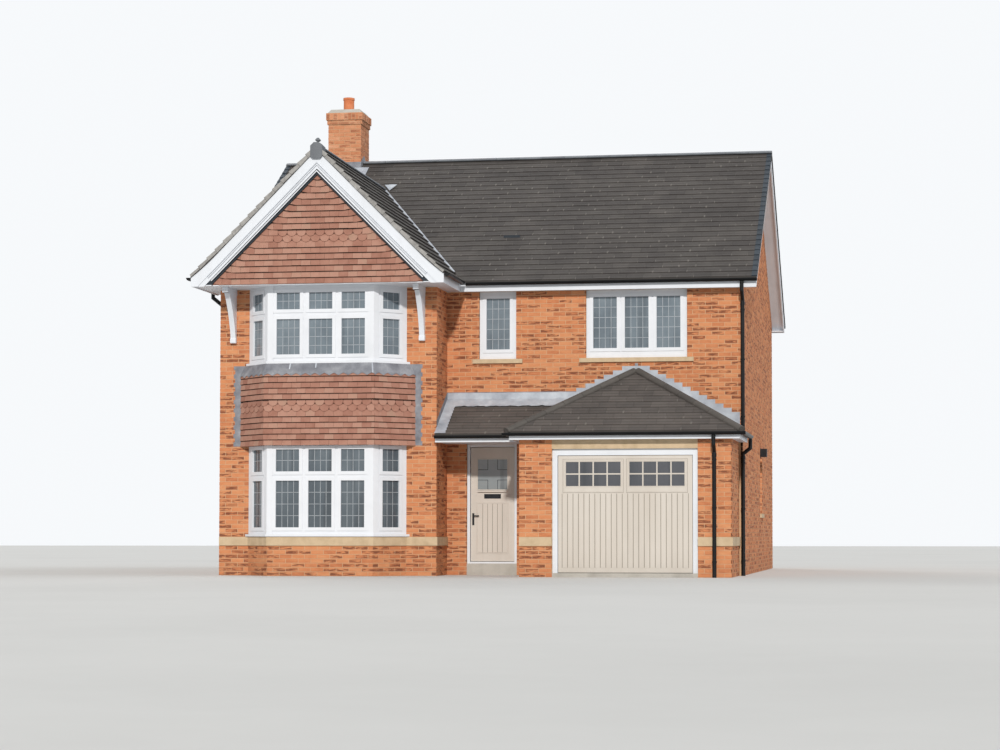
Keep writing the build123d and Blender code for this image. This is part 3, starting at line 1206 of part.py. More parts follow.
def make_stone():
    """Stone band round the bay and piers, and the stone window sills."""
    z = (BAND_BOTTOM, BAND_TOP)
    proud = BAND_PROUD
    foot = canted_line(0.0)[3][0]
    bay = canted_band(proud, 0.0, z)
    y = (GABLE_FRONT - proud, GABLE_FRONT)
    left = block((LEFT, GABLE_MID - foot), y, z)
    right = block((GABLE_MID + foot, GABLE_RIGHT), y, z)
    side = block((GABLE_RIGHT, GABLE_RIGHT + proud), (GABLE_FRONT - proud, FRONT), z)
    gable_band = bay.fuse(left).fuse(right).fuse(side)
    gy = (GARAGE_FRONT - proud, GARAGE_FRONT)
    garage_left = block((GARAGE_LEFT, GARAGE_DOOR_LEFT), gy, z)
    garage_right = block((GARAGE_DOOR_RIGHT, GARAGE_RIGHT), gy, z)
    garage_side = block((GARAGE_RIGHT, GARAGE_RIGHT + proud), (GARAGE_FRONT - proud, FRONT), z)
    lintel = block((GARAGE_DOOR_LEFT, GARAGE_DOOR_RIGHT), (GARAGE_FRONT, GARAGE_FRONT + WALL),
                   (GARAGE_HEAD_LEVEL, LOW_SOFFIT_LEVEL))
    keep("stone_band", largest(gable_band), garage_left, garage_right.fuse(garage_side))
    keep("stone_sills_and_lintel", lintel, *stone_sills())


def stone_sills():
    """Projecting sills under the casement windows of the front, rear and side."""
    solids = []
    horn = STONE_SILL_HORN
    front_y = (FRONT - STONE_SILL_PROUD, FRONT)
    for _, left, width, _ in front_window_places():
        z = (WINDOW_FOOT_LEVEL - STONE_SILL_THICK, WINDOW_FOOT_LEVEL)
        solids.append(block((left - horn, left + width + horn), front_y, z))
    for left, foot in rear_window_places():
        z = (foot - STONE_SILL_THICK, foot)
        solids.append(block((left - horn, left + WIDE_WINDOW_WIDTH + horn),
                            (REAR, REAR + STONE_SILL_PROUD), z))
    side = side_window_y()
    z = (SIDE_WINDOW_FOOT_LEVEL - STONE_SILL_THICK, SIDE_WINDOW_FOOT_LEVEL)
    solids.append(block((RIGHT, RIGHT + STONE_SILL_PROUD), (side[0] - horn, side[1] + horn), z))
    return solids


def make_windows():
    """Casement windows of the front, rear and right side."""
    made = [casement(count, Pos(left, depth, WINDOW_FOOT_LEVEL))
            for count, left, _, depth in front_window_places()]
    for left, foot in rear_window_places():
        place = Pos(left + WIDE_WINDOW_WIDTH, REAR - FRAME_RECESS, foot) * Rot(0, 0, 180)
        made.append(casement(3, place))
    glass_width = SIDE_WINDOW_WIDTH - 2 * LIGHT_MARGIN
    side_face = RIGHT - SIDE_WINDOW_RECESS
    place = Pos(side_face, side_window_y()[0], SIDE_WINDOW_FOOT_LEVEL) * Rot(0, 0, 90)
    made.append(casement(1, place, SIDE_WINDOW_HEIGHT, glass_width))
    keep("window_frames", *[frame for frame, _ in made])
    keep("window_glass", *[pane for _, panes in made for pane in panes])


def make_front_door():
    """Front door: fixed frame with threshold, and the leaf with its glass and furniture."""
    x = (DOOR_FRAME_LEFT, DOOR_FRAME_RIGHT)
    y = (DOOR_FRAME_FRONT, DOOR_FRAME_BACK)
    frame = block(x, y, (DOOR_STEP_LEVEL, DOOR_HEAD_LEVEL))
    opening = block((x[0] + DOOR_JAMB, x[1] - DOOR_JAMB), y,
                    (DOOR_STEP_LEVEL + DOOR_THRESHOLD, DOOR_HEAD_LEVEL - DOOR_JAMB))
    frame = frame.cut(opening)
    for level in door_hinge_levels():
        frame = frame.fuse(frame_knuckle(level + DOOR_KNUCKLE_HEIGHT + DOOR_KNUCKLE_GAP))
    keep("door_frame", frame)
    leaf_y = (DOOR_LEAF_FRONT, DOOR_LEAF_BACK)
    leaf = block((DOOR_LEAF_LEFT, DOOR_LEAF_RIGHT), leaf_y, (DOOR_LEAF_BOTTOM, DOOR_LEAF_TOP))
    middle = (DOOR_LEAF_LEFT + DOOR_LEAF_RIGHT) / 2
    glass_x = (middle - DOOR_GLASS_WIDTH / 2, middle + DOOR_GLASS_WIDTH / 2)
    glass_z = (DOOR_GLASS_BOTTOM, DOOR_GLASS_TOP)
    ledge = block(glass_x, (DOOR_LEAF_FRONT - DOOR_LEDGE_THICK, DOOR_LEAF_FRONT),
                  (DOOR_GLASS_BOTTOM - DOOR_LEDGE_THICK, DOOR_GLASS_BOTTOM))
    leaf = leaf.cut(block(glass_x, leaf_y, glass_z)).fuse(ledge)
    for level in door_hinge_levels():
        leaf = leaf.fuse(leaf_knuckle(level))
    keep("front_door_leaf", leaf)
    pane = (DOOR_LEAF_FRONT + DOOR_LEAF_THICK / 4, DOOR_LEAF_BACK - DOOR_LEAF_THICK / 4)
    keep("front_door_glass", block(glass_x, pane, glass_z))
    keep("front_door_handle", *door_furniture(middle))


def door_hinge_levels():
    """Foot levels of the leaf's hinge knuckles, spread evenly up the leaf."""
    low = DOOR_LEAF_BOTTOM + DOOR_HINGE_MARGIN
    high = DOOR_LEAF_TOP - DOOR_HINGE_MARGIN - 2 * DOOR_KNUCKLE_HEIGHT
    step = (high - low) / (DOOR_HINGE_COUNT - 1)
    return [low + number * step for number in range(DOOR_HINGE_COUNT)]


def upright(radius, level, height):
    """Round upright solid on the front door's pivot line."""
    return Solid.make_cylinder(radius, height, Plane((DOOR_PIVOT_X, DOOR_PIVOT_Y, level)))


def leaf_knuckle(level):
    """Lower half of a hinge: a plate on the leaf's back, a knuckle and the pin above it."""
    y = (DOOR_LEAF_BACK, DOOR_LEAF_BACK + DOOR_HINGE_PLATE)
    z = (level, level + DOOR_KNUCKLE_HEIGHT)
    plate = block((DOOR_PIVOT_X - DOOR_HINGE_LEAF, DOOR_PIVOT_X), y, z)
    knuckle = upright(DOOR_KNUCKLE_RADIUS, level, DOOR_KNUCKLE_HEIGHT)
    pin = upright(DOOR_PIN_RADIUS, level, 2 * DOOR_KNUCKLE_HEIGHT)
    return plate.fuse(knuckle).fuse(pin)


def frame_knuckle(level):
    """Upper half of a hinge: a plate on the frame's back and a knuckle bored for the pin."""
    y = (DOOR_FRAME_BACK, DOOR_FRAME_BACK + DOOR_HINGE_PLATE)
    z = (level, level + DOOR_KNUCKLE_HEIGHT)
    plate = block((DOOR_PIVOT_X, DOOR_PIVOT_X + DOOR_HINGE_LEAF), y, z)
    knuckle = upright(DOOR_KNUCKLE_RADIUS, level, DOOR_KNUCKLE_HEIGHT)
    bore = upright(DOOR_PIN_RADIUS + PIN_CLEARANCE, level, DOOR_KNUCKLE_HEIGHT)
    return plate.fuse(knuckle).cut(bore)


def door_furniture(middle):
    """Lever handle on both faces and the letterbox plate below the glass."""
    backset = DOOR_LEAF_LEFT + HANDLE_BACKSET
    level = DOOR_LEAF_BOTTOM + HANDLE_RISE
    half = HANDLE_PLATE_WIDTH / 2
    solids = []
    for face, out in ((DOOR_LEAF_FRONT, -1), (DOOR_LEAF_BACK, 1)):
        plate_y = tuple(sorted((face, face + out * HANDLE_PLATE_THICK)))
        plate = block((backset - half, backset + half), plate_y,
                      (level - HANDLE_PLATE_DROP, level + HANDLE_BACKSET))
        neck = Solid.make_cylinder(HANDLE_RADIUS, HANDLE_OUT + HANDLE_RADIUS / 2,
                                   Plane((backset, face, level), z_dir=(0, out, 0)))
        lever = rod_x(face + out * HANDLE_OUT, level, HANDLE_RADIUS,
                      (backset - HANDLE_RADIUS, backset + HANDLE_LENGTH))
        solids.append(plate.fuse(neck).fuse(lever))
    letter_top = DOOR_GLASS_BOTTOM - LETTER_PLATE_DROP
    solids.append(block((middle - LETTER_PLATE_WIDTH / 2, middle + LETTER_PLATE_WIDTH / 2),
                        (DOOR_LEAF_FRONT - LETTER_PLATE_THICK, DOOR_LEAF_FRONT),
                        (letter_top - LETTER_PLATE_HEIGHT, letter_top)))
    return solids


def make_garage_door():
    """Garage door frame, leaf with its two rows of lights, and the panes."""
    x = (GARAGE_DOOR_LEFT, GARAGE_DOOR_RIGHT)
    y = (GARAGE_FRAME_FRONT, GARAGE_FRAME_BACK)
    frame = block(x, y, (GARAGE_FLOOR_LEVEL, GARAGE_HEAD_LEVEL))
    opening = block((x[0] + GARAGE_JAMB, x[1] - GARAGE_JAMB), y,
                    (GARAGE_FLOOR_LEVEL, LEAF_TOP + LEAF_SIDE_GAP))
    keep("garage_door_frame", frame.cut(opening))
    leaf_y = (LEAF_FRONT, LEAF_BACK)
    leaf = block((LEAF_LEFT, LEAF_RIGHT), leaf_y, (LEAF_BOTTOM, LEAF_TOP))
    panes = []
    for hole in garage_light_boxes():
        leaf = leaf.cut(block(hole[0], leaf_y, hole[1]))
        pane_y = (LEAF_FRONT + LEAF_THICK / 4, LEAF_BACK - LEAF_THICK / 4)
        panes.append(block(hole[0], pane_y, hole[1]))
    keep("garage_door_leaf", leaf)
    keep("garage_door_glass", *panes)


def garage_light_boxes():
    """(x range, z range) of each small pane in the garage door."""
    boxes = []
    set_width = (LEAF_RIGHT - LEAF_LEFT - 2 * LIGHT_SET_MARGIN - LIGHT_SET_GAP) / 2
    pane_width = (set_width - (LIGHT_COLUMNS - 1) * LIGHT_BAR) / LIGHT_COLUMNS
    pane_height = (LIGHT_BAND_HEIGHT - (LIGHT_ROWS - 1) * LIGHT_BAR) / LIGHT_ROWS
    for group in range(2):
        start = LEAF_LEFT + LIGHT_SET_MARGIN + group * (set_width + LIGHT_SET_GAP)
        for column in range(LIGHT_COLUMNS):
            left = start + column * (pane_width + LIGHT_BAR)
            for row in range(LIGHT_ROWS):
                low = LIGHT_BAND_BOTTOM + row * (pane_height + LIGHT_BAR)
                boxes.append(((left, left + pane_width), (low, low + pane_height)))
    return boxes


def make_garage_gear():
    """Up-and-over gear: pivot brackets and tracks, swinging arms, and the leaf's rollers.

    Each arm hangs from a pivot behind the frame's head and carries the leaf at mid-height. The
    arm is half as long as the distance between the leaf's top and bottom pin lines, so as it
    swings in, the leaf turns back through the same angle and its top runs straight along a track.
    """
    tracks, arms, carriers = [], [], []
    top_z = GEAR_Z
    mid_z = GEAR_Z - ARM_LENGTH
    for side in (-1, 1):
        edge = LEAF_RIGHT if side > 0 else LEAF_LEFT
        outer = TRACK_GAP + GEAR_LAYER + 2 * TRACK_GAP
        inner = beside(edge, side, TRACK_GAP, TRACK_GAP + GEAR_LAYER)
        arm_x = beside(edge, side, outer, outer + ARM_THICK)
        tracks.append(track(side, inner, beside(edge, side, outer, outer + ARM_THICK + TRACK_GAP)))
        arms.append(arm(side, arm_x, top_z, mid_z))
        carriers += carrier(side, edge, inner, arm_x, top_z, mid_z)
    keep("garage_door_tracks", *tracks)
    keep("garage_door_arms", *arms)
    keep("garage_door_carriers", *carriers)


def beside(edge, side, near, far):
    """Range between two distances out from an edge, towards one side."""
    return tuple(sorted((edge + side * near, edge + side * far)))


def track(side, inner, outer):
    """Channel track at pivot height, with its pivot plate and rear hanger."""
    half = ROLLER_RADIUS + TRACK_GAP
    shell = half + TRACK_WALL
    y = (GEAR_Y - 2 * ROLLER_RADIUS, GEAR_Y + TRACK_RUN)
    channel = block(inner, y, (GEAR_Z - shell, GEAR_Z + shell))
    reach = (inner[0] - TRACK_GAP, inner[1] - TRACK_WALL) if side > 0 else (
        inner[0] + TRACK_WALL, inner[1] + TRACK_GAP)
    channel = channel.cut(block(reach, (y[0], y[1]), (GEAR_Z - half, GEAR_Z + half)))
    back = (inner[1] - TRACK_WALL, inner[1]) if side > 0 else (inner[0], inner[0] + TRACK_WALL)
    foot = block(back, (GARAGE_FRAME_BACK, y[0] + ARM_WIDTH), (GEAR_Z - 2 * shell, GEAR_Z + shell))
    hanger = block(back, (y[1] - 2 * ARM_WIDTH, y[1] - ARM_WIDTH),
                   (GEAR_Z + shell, FIRST_FLOOR_LEVEL - FLOOR_DEPTH))
    far = outer[1] if side > 0 else outer[0]
    pin_x = tuple(sorted((back[1] if side > 0 else back[0], far)))
    pin = rod_x(GEAR_Y, GEAR_Z, PIVOT_RADIUS, pin_x)
    return channel.fuse(foot).fuse(hanger).fuse(pin)


def arm(side, x, top_z, mid_z):
    """Flat arm from the fixed pivot down to the leaf's carrier pin."""
    half = ARM_WIDTH / 2
    bar = block(x, (GEAR_Y - half, GEAR_Y + half), (mid_z, top_z))
    bar = bar.fuse(rod_x(GEAR_Y, top_z, half, x)).fuse(rod_x(GEAR_Y, mid_z, half, x))
    for level in (top_z, mid_z):
        bar = bar.cut(rod_x(GEAR_Y, level, PIVOT_RADIUS + PIN_CLEARANCE, x))
    return bar


def carrier(side, edge, inner, arm_x, top_z, mid_z):
    """Leaf brackets of one side: the roller in the track and the pin in the arm."""
    inward = edge - side * CARRIER_SET
    plate_x = tuple(sorted((inward, inward + side * CARRIER_PLATE)))
    half = ARM_WIDTH / 2
    far_pin = arm_x[1] + TRACK_GAP if side > 0 else arm_x[0] - TRACK_GAP
    pin_x = tuple(sorted((inward, far_pin)))
    lower = block(plate_x, (LEAF_BACK, GEAR_Y + half), (mid_z - half, mid_z + half))
    lower = lower.fuse(rod_x(GEAR_Y, mid_z, PIVOT_RADIUS, pin_x))
    roller_x = (inner[0], inner[1] - TRACK_WALL - TRACK_GAP) if side > 0 else (
        inner[0] + TRACK_WALL + TRACK_GAP, inner[1])
    upper = block(plate_x, (LEAF_BACK, GEAR_Y + half / 2), (top_z - half, top_z + half / 2))
    shaft_x = tuple(sorted((inward, roller_x[0] if side > 0 else roller_x[1])))
    upper = upper.fuse(rod_x(GEAR_Y, top_z, PIVOT_RADIUS / 2, shaft_x))
    upper = upper.fuse(rod_x(GEAR_Y, top_z, ROLLER_RADIUS, roller_x))
    return [lower, upper]


def stepped_flashing():
    """Lead on the front wall over the garage roof, stepped to the brick courses."""
    points = [(LOW_EAVE_RIGHT, LOW_EAVE_LEVEL)]
    run = COURSE / LOW_SIDE_PITCH
    count = int((LOW_APEX_LEVEL - LOW_EAVE_LEVEL) / COURSE)
    for number in range(count + 1):
        low = LOW_EAVE_LEVEL + number * COURSE
        right = LOW_EAVE_RIGHT - number * run
        points += [(right, low + FLASHING_UPSTAND), (right - run, low + FLASHING_UPSTAND)]
    return points


def make_flashings():
    """Lead sheets over the garage and porch roofs, up the bay's skirt and round the chimney."""
    over_roofs = garage_flashing().fuse(porch_flashing())
    sides = [bay_side_lead(side) for side in (-1, 1)]
    keep("lead_flashings", largest(over_roofs), *sides, chimney_flashing())


def garage_flashing():
    """Stepped lead on the front wall over both sides of the garage roof, clear of the pipe."""
    y = (FRONT - LEAD, FRONT)
    whole = None
    for side in (-1, 1):
        outline = [(GARAGE_MID + side * (x - GARAGE_MID), z) for x, z in stepped_flashing()
                   if x >= GARAGE_MID]
        outline += [(GARAGE_MID, outline[-1][1]), (GARAGE_MID, LOW_EAVE_LEVEL)]
        sheet = along_y(outline, y)
        whole = sheet if whole is None else whole.fuse(sheet)
    limit = RIGHT + CORNER_PIPE_OUT - 2 * PIPE_RADIUS
    bounds = block((GABLE_RIGHT, limit), (FRONT - WALL, FRONT), (LOW_EAVE_LEVEL, SOFFIT_LEVEL))
    wedge = porch_wedge(0.0, (GABLE_RIGHT, GARAGE_MID))
    return largest((whole & bounds).cut(hipped_roof(0.0)).cut(wedge))


def porch_flashing():
    """Lead along the wall over the porch roof and down the gable's return beside it."""
    y = (FRONT - LEAD, FRONT)
    top = PORCH_TOP_LEVEL + FLASHING_UPSTAND
    reach = LOW_EAVE_LEFT + (top - LOW_EAVE_LEVEL) / LOW_SIDE_PITCH
    back = block((GABLE_RIGHT, reach), y, (PORCH_TOP_LEVEL - COURSE, top))
    side_outline = [(PORCH_EAVE, LOW_EAVE_LEVEL), (FRONT, PORCH_TOP_LEVEL), (FRONT, top),
                    (PORCH_EAVE, LOW_EAVE_LEVEL + FLASHING_UPSTAND)]
    side = along_x(side_outline, (GABLE_RIGHT, GABLE_RIGHT + LEAD))
    sheet = back.fuse(side)
    wall_end = block((GABLE_RIGHT, RIGHT), (GABLE_FRONT, FRONT), (0.0, SOFFIT_LEVEL))
    roofs = porch_wedge(0.0, (GABLE_RIGHT, RIGHT))
    return largest((sheet & wall_end).cut(roofs).cut(hipped_roof(0.0)))


def chimney_flashing():
    """Lead collar round the stack where it meets the two slopes."""
    x = (CHIMNEY_LEFT, CHIMNEY_LEFT + CHIMNEY_WIDTH)
    y = (CHIMNEY_FRONT, CHIMNEY_FRONT + CHIMNEY_DEPTH)
    grow = LEAD
    box = block((x[0] - grow, x[1] + grow), (y[0] - grow, y[1] + grow),
                (CEILING_TOP, MAIN_RIDGE_LEVEL + FLASHING_UPSTAND))
    crown = MAIN_RIDGE_LEVEL + FLASHING_UPSTAND
    reach = EAVE_RUN
    lid = along_x([(-reach, crown - MAIN_PITCH * reach), (0.0, crown),
                   (reach, crown - MAIN_PITCH * reach)], (x[0] - grow, x[1] + grow))
    collar = (box & lid).cut(chimney_box(SHAFT_TOP))
    roof = main_slope(-1).fuse(main_slope(1)).fuse(main_attic())
    cap = along_x(ridge_cap(RIDGE_TILE_HALF, 0.0, main_level), (VERGE_LEFT, VERGE_RIGHT))
    return largest(collar.cut(roof).cut(cap))


def make_fittings():
    """Roof vent tile and the wall lantern on the right side."""
    x = LEFT + VENT_X
    y = -main_depth_at(VENT_LEVEL)
    vent = [(y, VENT_LEVEL), (y, VENT_LEVEL + VENT_HEIGHT),
            (y + VENT_HEIGHT / MAIN_PITCH, VENT_LEVEL + VENT_HEIGHT)]
    keep("roof_vent", along_x(vent, (x, x + VENT_LENGTH)))
    wall = RIGHT
    ly = FRONT + LANTERN_Y
    half = LANTERN_WIDTH / 2
    top = LANTERN_LEVEL + LANTERN_HEIGHT
    plate = block((wall, wall + LANTERN_PLATE), (ly - half, ly + half), (LANTERN_LEVEL, top))
    body = block((wall + LANTERN_PLATE, wall + LANTERN_REACH), (ly - half, ly + half),
                 (LANTERN_LEVEL + LANTERN_PLATE, top - LANTERN_PLATE))
    keep("wall_lantern", plate.fuse(body))


def write_nodes():
    """Writes every node to its own STEP file."""
    os.makedirs("parts", exist_ok=True)
    for name, solids in NODES.items():
        shapes = [piece for solid in solids for piece in solid.solids()]
        whole = shapes[0] if len(shapes) == 1 else Compound(children=shapes)
        export_step(whole, f"parts/{name}.step")


make_side_walls()
make_rear_wall()
make_front_walls()
make_gable_walls()
make_garage_walls()
make_floors()
make_bay()
make_gable_front()
make_brackets()
make_main_roof()
make_gable_roof()
make_eaves()
make_low_roofs()
make_ridges()
make_chimney()
make_gutters()
make_downpipes()
make_stone()
make_windows()
make_front_door()
make_garage_door()
make_garage_gear()
make_flashings()
make_fittings()
write_nodes()
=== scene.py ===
# %% [markdown]
# # Dressing a brick house
# The solid model gives the walls, roofs, frames and doors in one shared frame, in metres. This lesson
# adds what a maker of that house adds last: bricks, tiles, lead, boards, paint and glass. Every part
# is worked out with arrays of numbers, because a house repeats a few small shapes thousands of times.

# %% Load the frame
import math
import bpy
import numpy as np
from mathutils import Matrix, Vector


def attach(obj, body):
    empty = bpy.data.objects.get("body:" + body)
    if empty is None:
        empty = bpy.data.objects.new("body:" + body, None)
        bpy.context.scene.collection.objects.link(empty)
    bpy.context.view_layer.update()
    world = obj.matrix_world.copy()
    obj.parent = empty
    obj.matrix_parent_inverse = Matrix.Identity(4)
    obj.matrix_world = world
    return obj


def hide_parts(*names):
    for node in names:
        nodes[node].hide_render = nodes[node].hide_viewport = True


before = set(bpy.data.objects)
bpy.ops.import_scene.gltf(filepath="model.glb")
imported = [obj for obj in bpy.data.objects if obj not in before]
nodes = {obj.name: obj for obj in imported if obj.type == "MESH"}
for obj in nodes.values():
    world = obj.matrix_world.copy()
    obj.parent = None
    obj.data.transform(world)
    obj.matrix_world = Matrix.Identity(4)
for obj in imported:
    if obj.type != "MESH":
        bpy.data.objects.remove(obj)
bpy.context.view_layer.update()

# %% [markdown]
# ## Places that the pieces share
# The walls, eaves, ridges and window sills are those of the solid model. They're written once, so that
# every course of bricks and tiles is set out from the same lines a bricklayer would use.

# %% Walls, eaves, ridges and windows
LEFT, RIGHT, FRONT, REAR = -4.575, 4.575, -4.3, 4.3
GABLE_RIGHT, GABLE_MID, GABLE_FRONT = -0.675, -2.625, -5.2
GARAGE_LEFT, GARAGE_RIGHT, GARAGE_FRONT = 0.925, 4.51, -6.0
GARAGE_MID = (GARAGE_LEFT + GARAGE_RIGHT) / 2
SOFFIT, LOW_SOFFIT = 5.03, 2.32
EAVE_RUN, EAVE_LEVEL, MAIN_PITCH = 4.57, 5.189, 0.643
MAIN_RIDGE = EAVE_LEVEL + MAIN_PITCH * EAVE_RUN
GABLE_RIDGE, KICK_REACH, KICK_LEVEL = 7.43, 1.78, 5.65
TIP_REACH, TIP_LEVEL, GABLE_VERGE = 2.24, 5.2, -6.02
LOW_EAVE, LOW_FRONT = 2.45, -6.2
LOW_LEFT, LOW_RIGHT = GARAGE_LEFT - 0.2, GARAGE_RIGHT + 0.2
LOW_APEX = LOW_EAVE + 0.6 * (FRONT - LOW_FRONT)
PORCH_DEPTH, PORCH_PITCH = 1.07, 0.6
BAY_HALF, BAY_OUT = 0.94, 0.48
VERGE_X = 4.855
LOW_FOOT, HIGH_FOOT, SIDE_FOOT = 1.05, 3.825, 1.12
REAR_WINDOWS, REAR_WIDE = (1.3, 6.062), 1.788


def main_level(y):
    """Level of the main roof at depth y: the ridge's level less the pitch times the distance."""
    return MAIN_RIDGE - MAIN_PITCH * np.abs(y)


print("main ridge at", round(MAIN_RIDGE, 3), "garage apex at", round(LOW_APEX, 3))

# %% [markdown]
# ## How a mesh is made here
# A wall of bricks or a slope of tiles is one mesh. All its corners are worked out together as an
# array and handed to Blender in one go, which is far quicker than adding them one by one. Each
# corner also carries three marks that the materials read: the tone of its brick or tile, so that no
# two are alike, and how far across and how far up its own brick or tile the corner lies.

# %% One mesh from arrays
rng = np.random.default_rng(11)
made, groups, finishes = {}, {}, {}


def repeated(pattern, corners, count):
    """The faces of one shape of so many corners, given for the first, for each of count shapes."""
    faces = np.asarray(pattern)[None] + corners * np.arange(count)[:, None, None]
    return faces.reshape(-1, faces.shape[-1]).tolist()


def marks(tone, across=0.5, rise=0.5):
    """The three marks of each corner as columns: tone, share across, share of the height."""
    return np.stack(np.broadcast_arrays(tone, across, rise), axis=-1).reshape(-1, 3)


def join(*parts):
    """Several (points, faces, marks) as one: the faces of each are moved on by the points before."""
    points, faces, tones, count = [], [], [], 0
    for p, f, t in parts:
        points.append(p)
        faces += [[i + count for i in face] for face in f]
        tones.append(t)
        count += len(p)
    return np.concatenate(points), faces, np.concatenate(tones)


def piece(name, label, *parts, body="house"):
    """One mesh of several (points, faces, marks), in the finish called label, that rides on a
    body. Its one slot holds that finish."""
    points, faces, tone = join(*parts)
    mesh = bpy.data.meshes.new(name)
    mesh.from_pydata(points.tolist(), [], faces)
    for mark_name, column in zip(("tone", "across", "rise"), tone.T):
        layer = mesh.attributes.new(mark_name, "FLOAT", "POINT")
        layer.data.foreach_set("value", np.ascontiguousarray(column, dtype=np.float32))
    mesh.materials.append(finishes[label])
    mesh.update()
    obj = bpy.data.objects.new(name, mesh)
    bpy.context.scene.collection.objects.link(obj)
    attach(obj, body)
    made[name] = sum(len(f) - 2 for f in faces)
    print(f"{name}: {len(faces)} faces, {made[name]} triangles")
    return obj


# %% [markdown]
# ## Slabs: the one shape behind bricks, tiles and boards
# A brick face, a roof tile and a door board are all a small slab on a surface. A slab is a rectangle
# in the surface's own two directions, u along and v up, and it stands out from it by a depth d.
# A place function turns (u, v, d) into a point of the house. So the same few lines lay bricks on a
# wall and tiles on a slope, and only the place function changes.

# %% Slabs on a surface
SLAB_FACES = [[4, 5, 6, 7], [0, 1, 5, 4], [7, 6, 2, 3], [0, 4, 7, 3], [5, 1, 2, 6]]


def rectangles(u0, u1, v0, v1):
    """Rows of u0, u1, v0, v1, whichever of them are arrays."""
    return np.stack(np.broadcast_arrays(u0, u1, v0, v1), axis=-1).reshape(-1, 4)


def slabs(rects, place, front, back, foot=None, edit=None):
    """Five-sided slabs. Each rectangle is u0, u1, v0, v1; its front stands at depth front at the
    top edge and at depth foot at the bottom edge, and its back is at depth back. edit may move
    the corners' (u, v), as to clip them on a slanting line, and slabs that vanish are dropped."""
    u = rects[:, [0, 1, 1, 0]].astype(float)
    v = rects[:, [2, 2, 3, 3]].astype(float)
    if edit is not None:
        u, v = edit(u, v)
        wide = np.maximum(u[:, 1] - u[:, 0], u[:, 2] - u[:, 3])
        tall = np.maximum(v[:, 3] - v[:, 0], v[:, 2] - v[:, 1])
        kept = (wide > 0.006) & (tall > 0.006)
        u, v, front = u[kept], v[kept], np.broadcast_to(front, kept.shape)[kept]
        foot = None if foot is None else np.broadcast_to(foot, kept.shape)[kept]
    count = len(u)
    top = np.broadcast_to(front, (count,))
    low = top if foot is None else np.broadcast_to(foot, (count,))
    out = np.stack([low, low, top, top], axis=1)
    inner = place(u, v, np.full(u.shape, back))
    outer = place(u, v, out)
    points = np.concatenate([inner, outer], axis=1).reshape(-1, 3)
    corners = marks(rng.random((count, 1)), [0, 1, 1, 0] * 2, [0, 0, 1, 1] * 2)
    return points, repeated(SLAB_FACES, 8, count), corners


def plane(origin, along, up):
    """Place function of a flat face: u along it, v up it, and d outwards, square to both."""
    origin, along, up = (np.array(a, float) for a in (origin, along, up))
    along, up = along / np.linalg.norm(along), up / np.linalg.norm(up)
    out = np.cross(along, up)

    def place(u, v, d):
        """Point = origin + u along + v up + d outwards."""
        return origin + u[..., None] * along + v[..., None] * up + d[..., None] * out
    return place


def upright(origin, normal):
    """Place function of an upright face: u runs to the right of someone who looks at the face."""
    return plane(origin, (-normal[1], normal[0], 0), (0, 0, 1))


# %% [markdown]
# ## Setting out the bricks
# A brick is 215 x 65 mm in a 10 mm joint, so courses rise by 75 mm and each is shifted by half a
# brick. Openings are cut out of the bond, and a brick at an opening's edge is cut as a real one is.

# %% Stretcher bond with openings
BRICK, COURSE, JOINT = 0.215, 0.075, 0.010


def bond(u0, u1, v0, v1, shift=0):
    """Rectangles of a stretcher bond between two edges and two levels. Course k starts half a
    brick earlier when k + shift is odd, and every brick is clipped to the edges."""
    course = np.arange(math.floor(v0 / COURSE), math.ceil(v1 / COURSE))
    column = np.arange(-1, math.ceil((u1 - u0) / (BRICK + JOINT)) + 1)
    k, c = np.meshgrid(course, column, indexing="ij")
    start = u0 + c * (BRICK + JOINT) + ((k + shift) % 2) * (BRICK + JOINT) / 2
    low = k * COURSE + JOINT / 2
    return clip(rectangles(start, start + BRICK, low, low + COURSE - JOINT), u0, u1, v0, v1)


def clip(rects, u0, u1, v0, v1):
    """Rectangles cut to a window of u and v; slivers are dropped."""
    r = rects.copy()
    r[:, :2] = r[:, :2].clip(u0, u1)
    r[:, 2:] = r[:, 2:].clip(v0, v1)
    return r[(r[:, 1] - r[:, 0] > 0.02) & (r[:, 3] - r[:, 2] > 0.012)]


def opening(rects, u0, u1, v0, v1):
    """Rectangles with a hole taken out: what is left of, right of, under and over the hole."""
    hit = (rects[:, 0] < u1) & (rects[:, 1] > u0) & (rects[:, 2] < v1) & (rects[:, 3] > v0)
    cut = rects[hit]
    parts = [rects[~hit], clip(cut, -1e3, u0, -1e3, 1e3), clip(cut, u1, 1e3, -1e3, 1e3),
             clip(cut, u0, u1, -1e3, v0), clip(cut, u0, u1, v1, 1e3)]
    return np.concatenate(parts)


def soldiers(u0, u1, v0, v1):
    """Bricks stood on end between two levels, a joint apart."""
    count = int(round((u1 - u0) / COURSE))
    start = np.linspace(u0, u1, count + 1)[:-1] + JOINT / 2
    width = (u1 - u0) / count - JOINT
    return rectangles(start, start + width, v0, v1)


# %% [markdown]
# ## Materials: shared effects first
# Brick, tile, lead and paint all vary in the same ways: broad clouds of colour, fine grain, and
# dirt that gathers low down. Under each lap of tiles a dark band is painted shade with some dirt, and
# pale marks at some tails are painted highlight. Each effect is a node group with named sockets. The
# shader itself stays in each material. Colours are written as the paint charts give them and
# turned into the linear values that Blender works in.

# %% Colours and nodes
def shade(code):
    """Linear colour from a six-figure code: each part is raised by the usual display curve."""
    parts = [int(code[i:i + 2], 16) / 255 for i in (0, 2, 4)]
    return [p / 12.92 if p <= 0.04045 else ((p + 0.055) / 1.055) ** 2.4 for p in parts] + [1.0]


def fill(tree, target, inputs):
    """Inputs of a node, each linked to a socket or given as a value."""
    for key, value in inputs.items():
        if isinstance(value, bpy.types.NodeSocket):
            tree.links.new(value, target.inputs[key])
        else:
            target.inputs[key].default_value = value


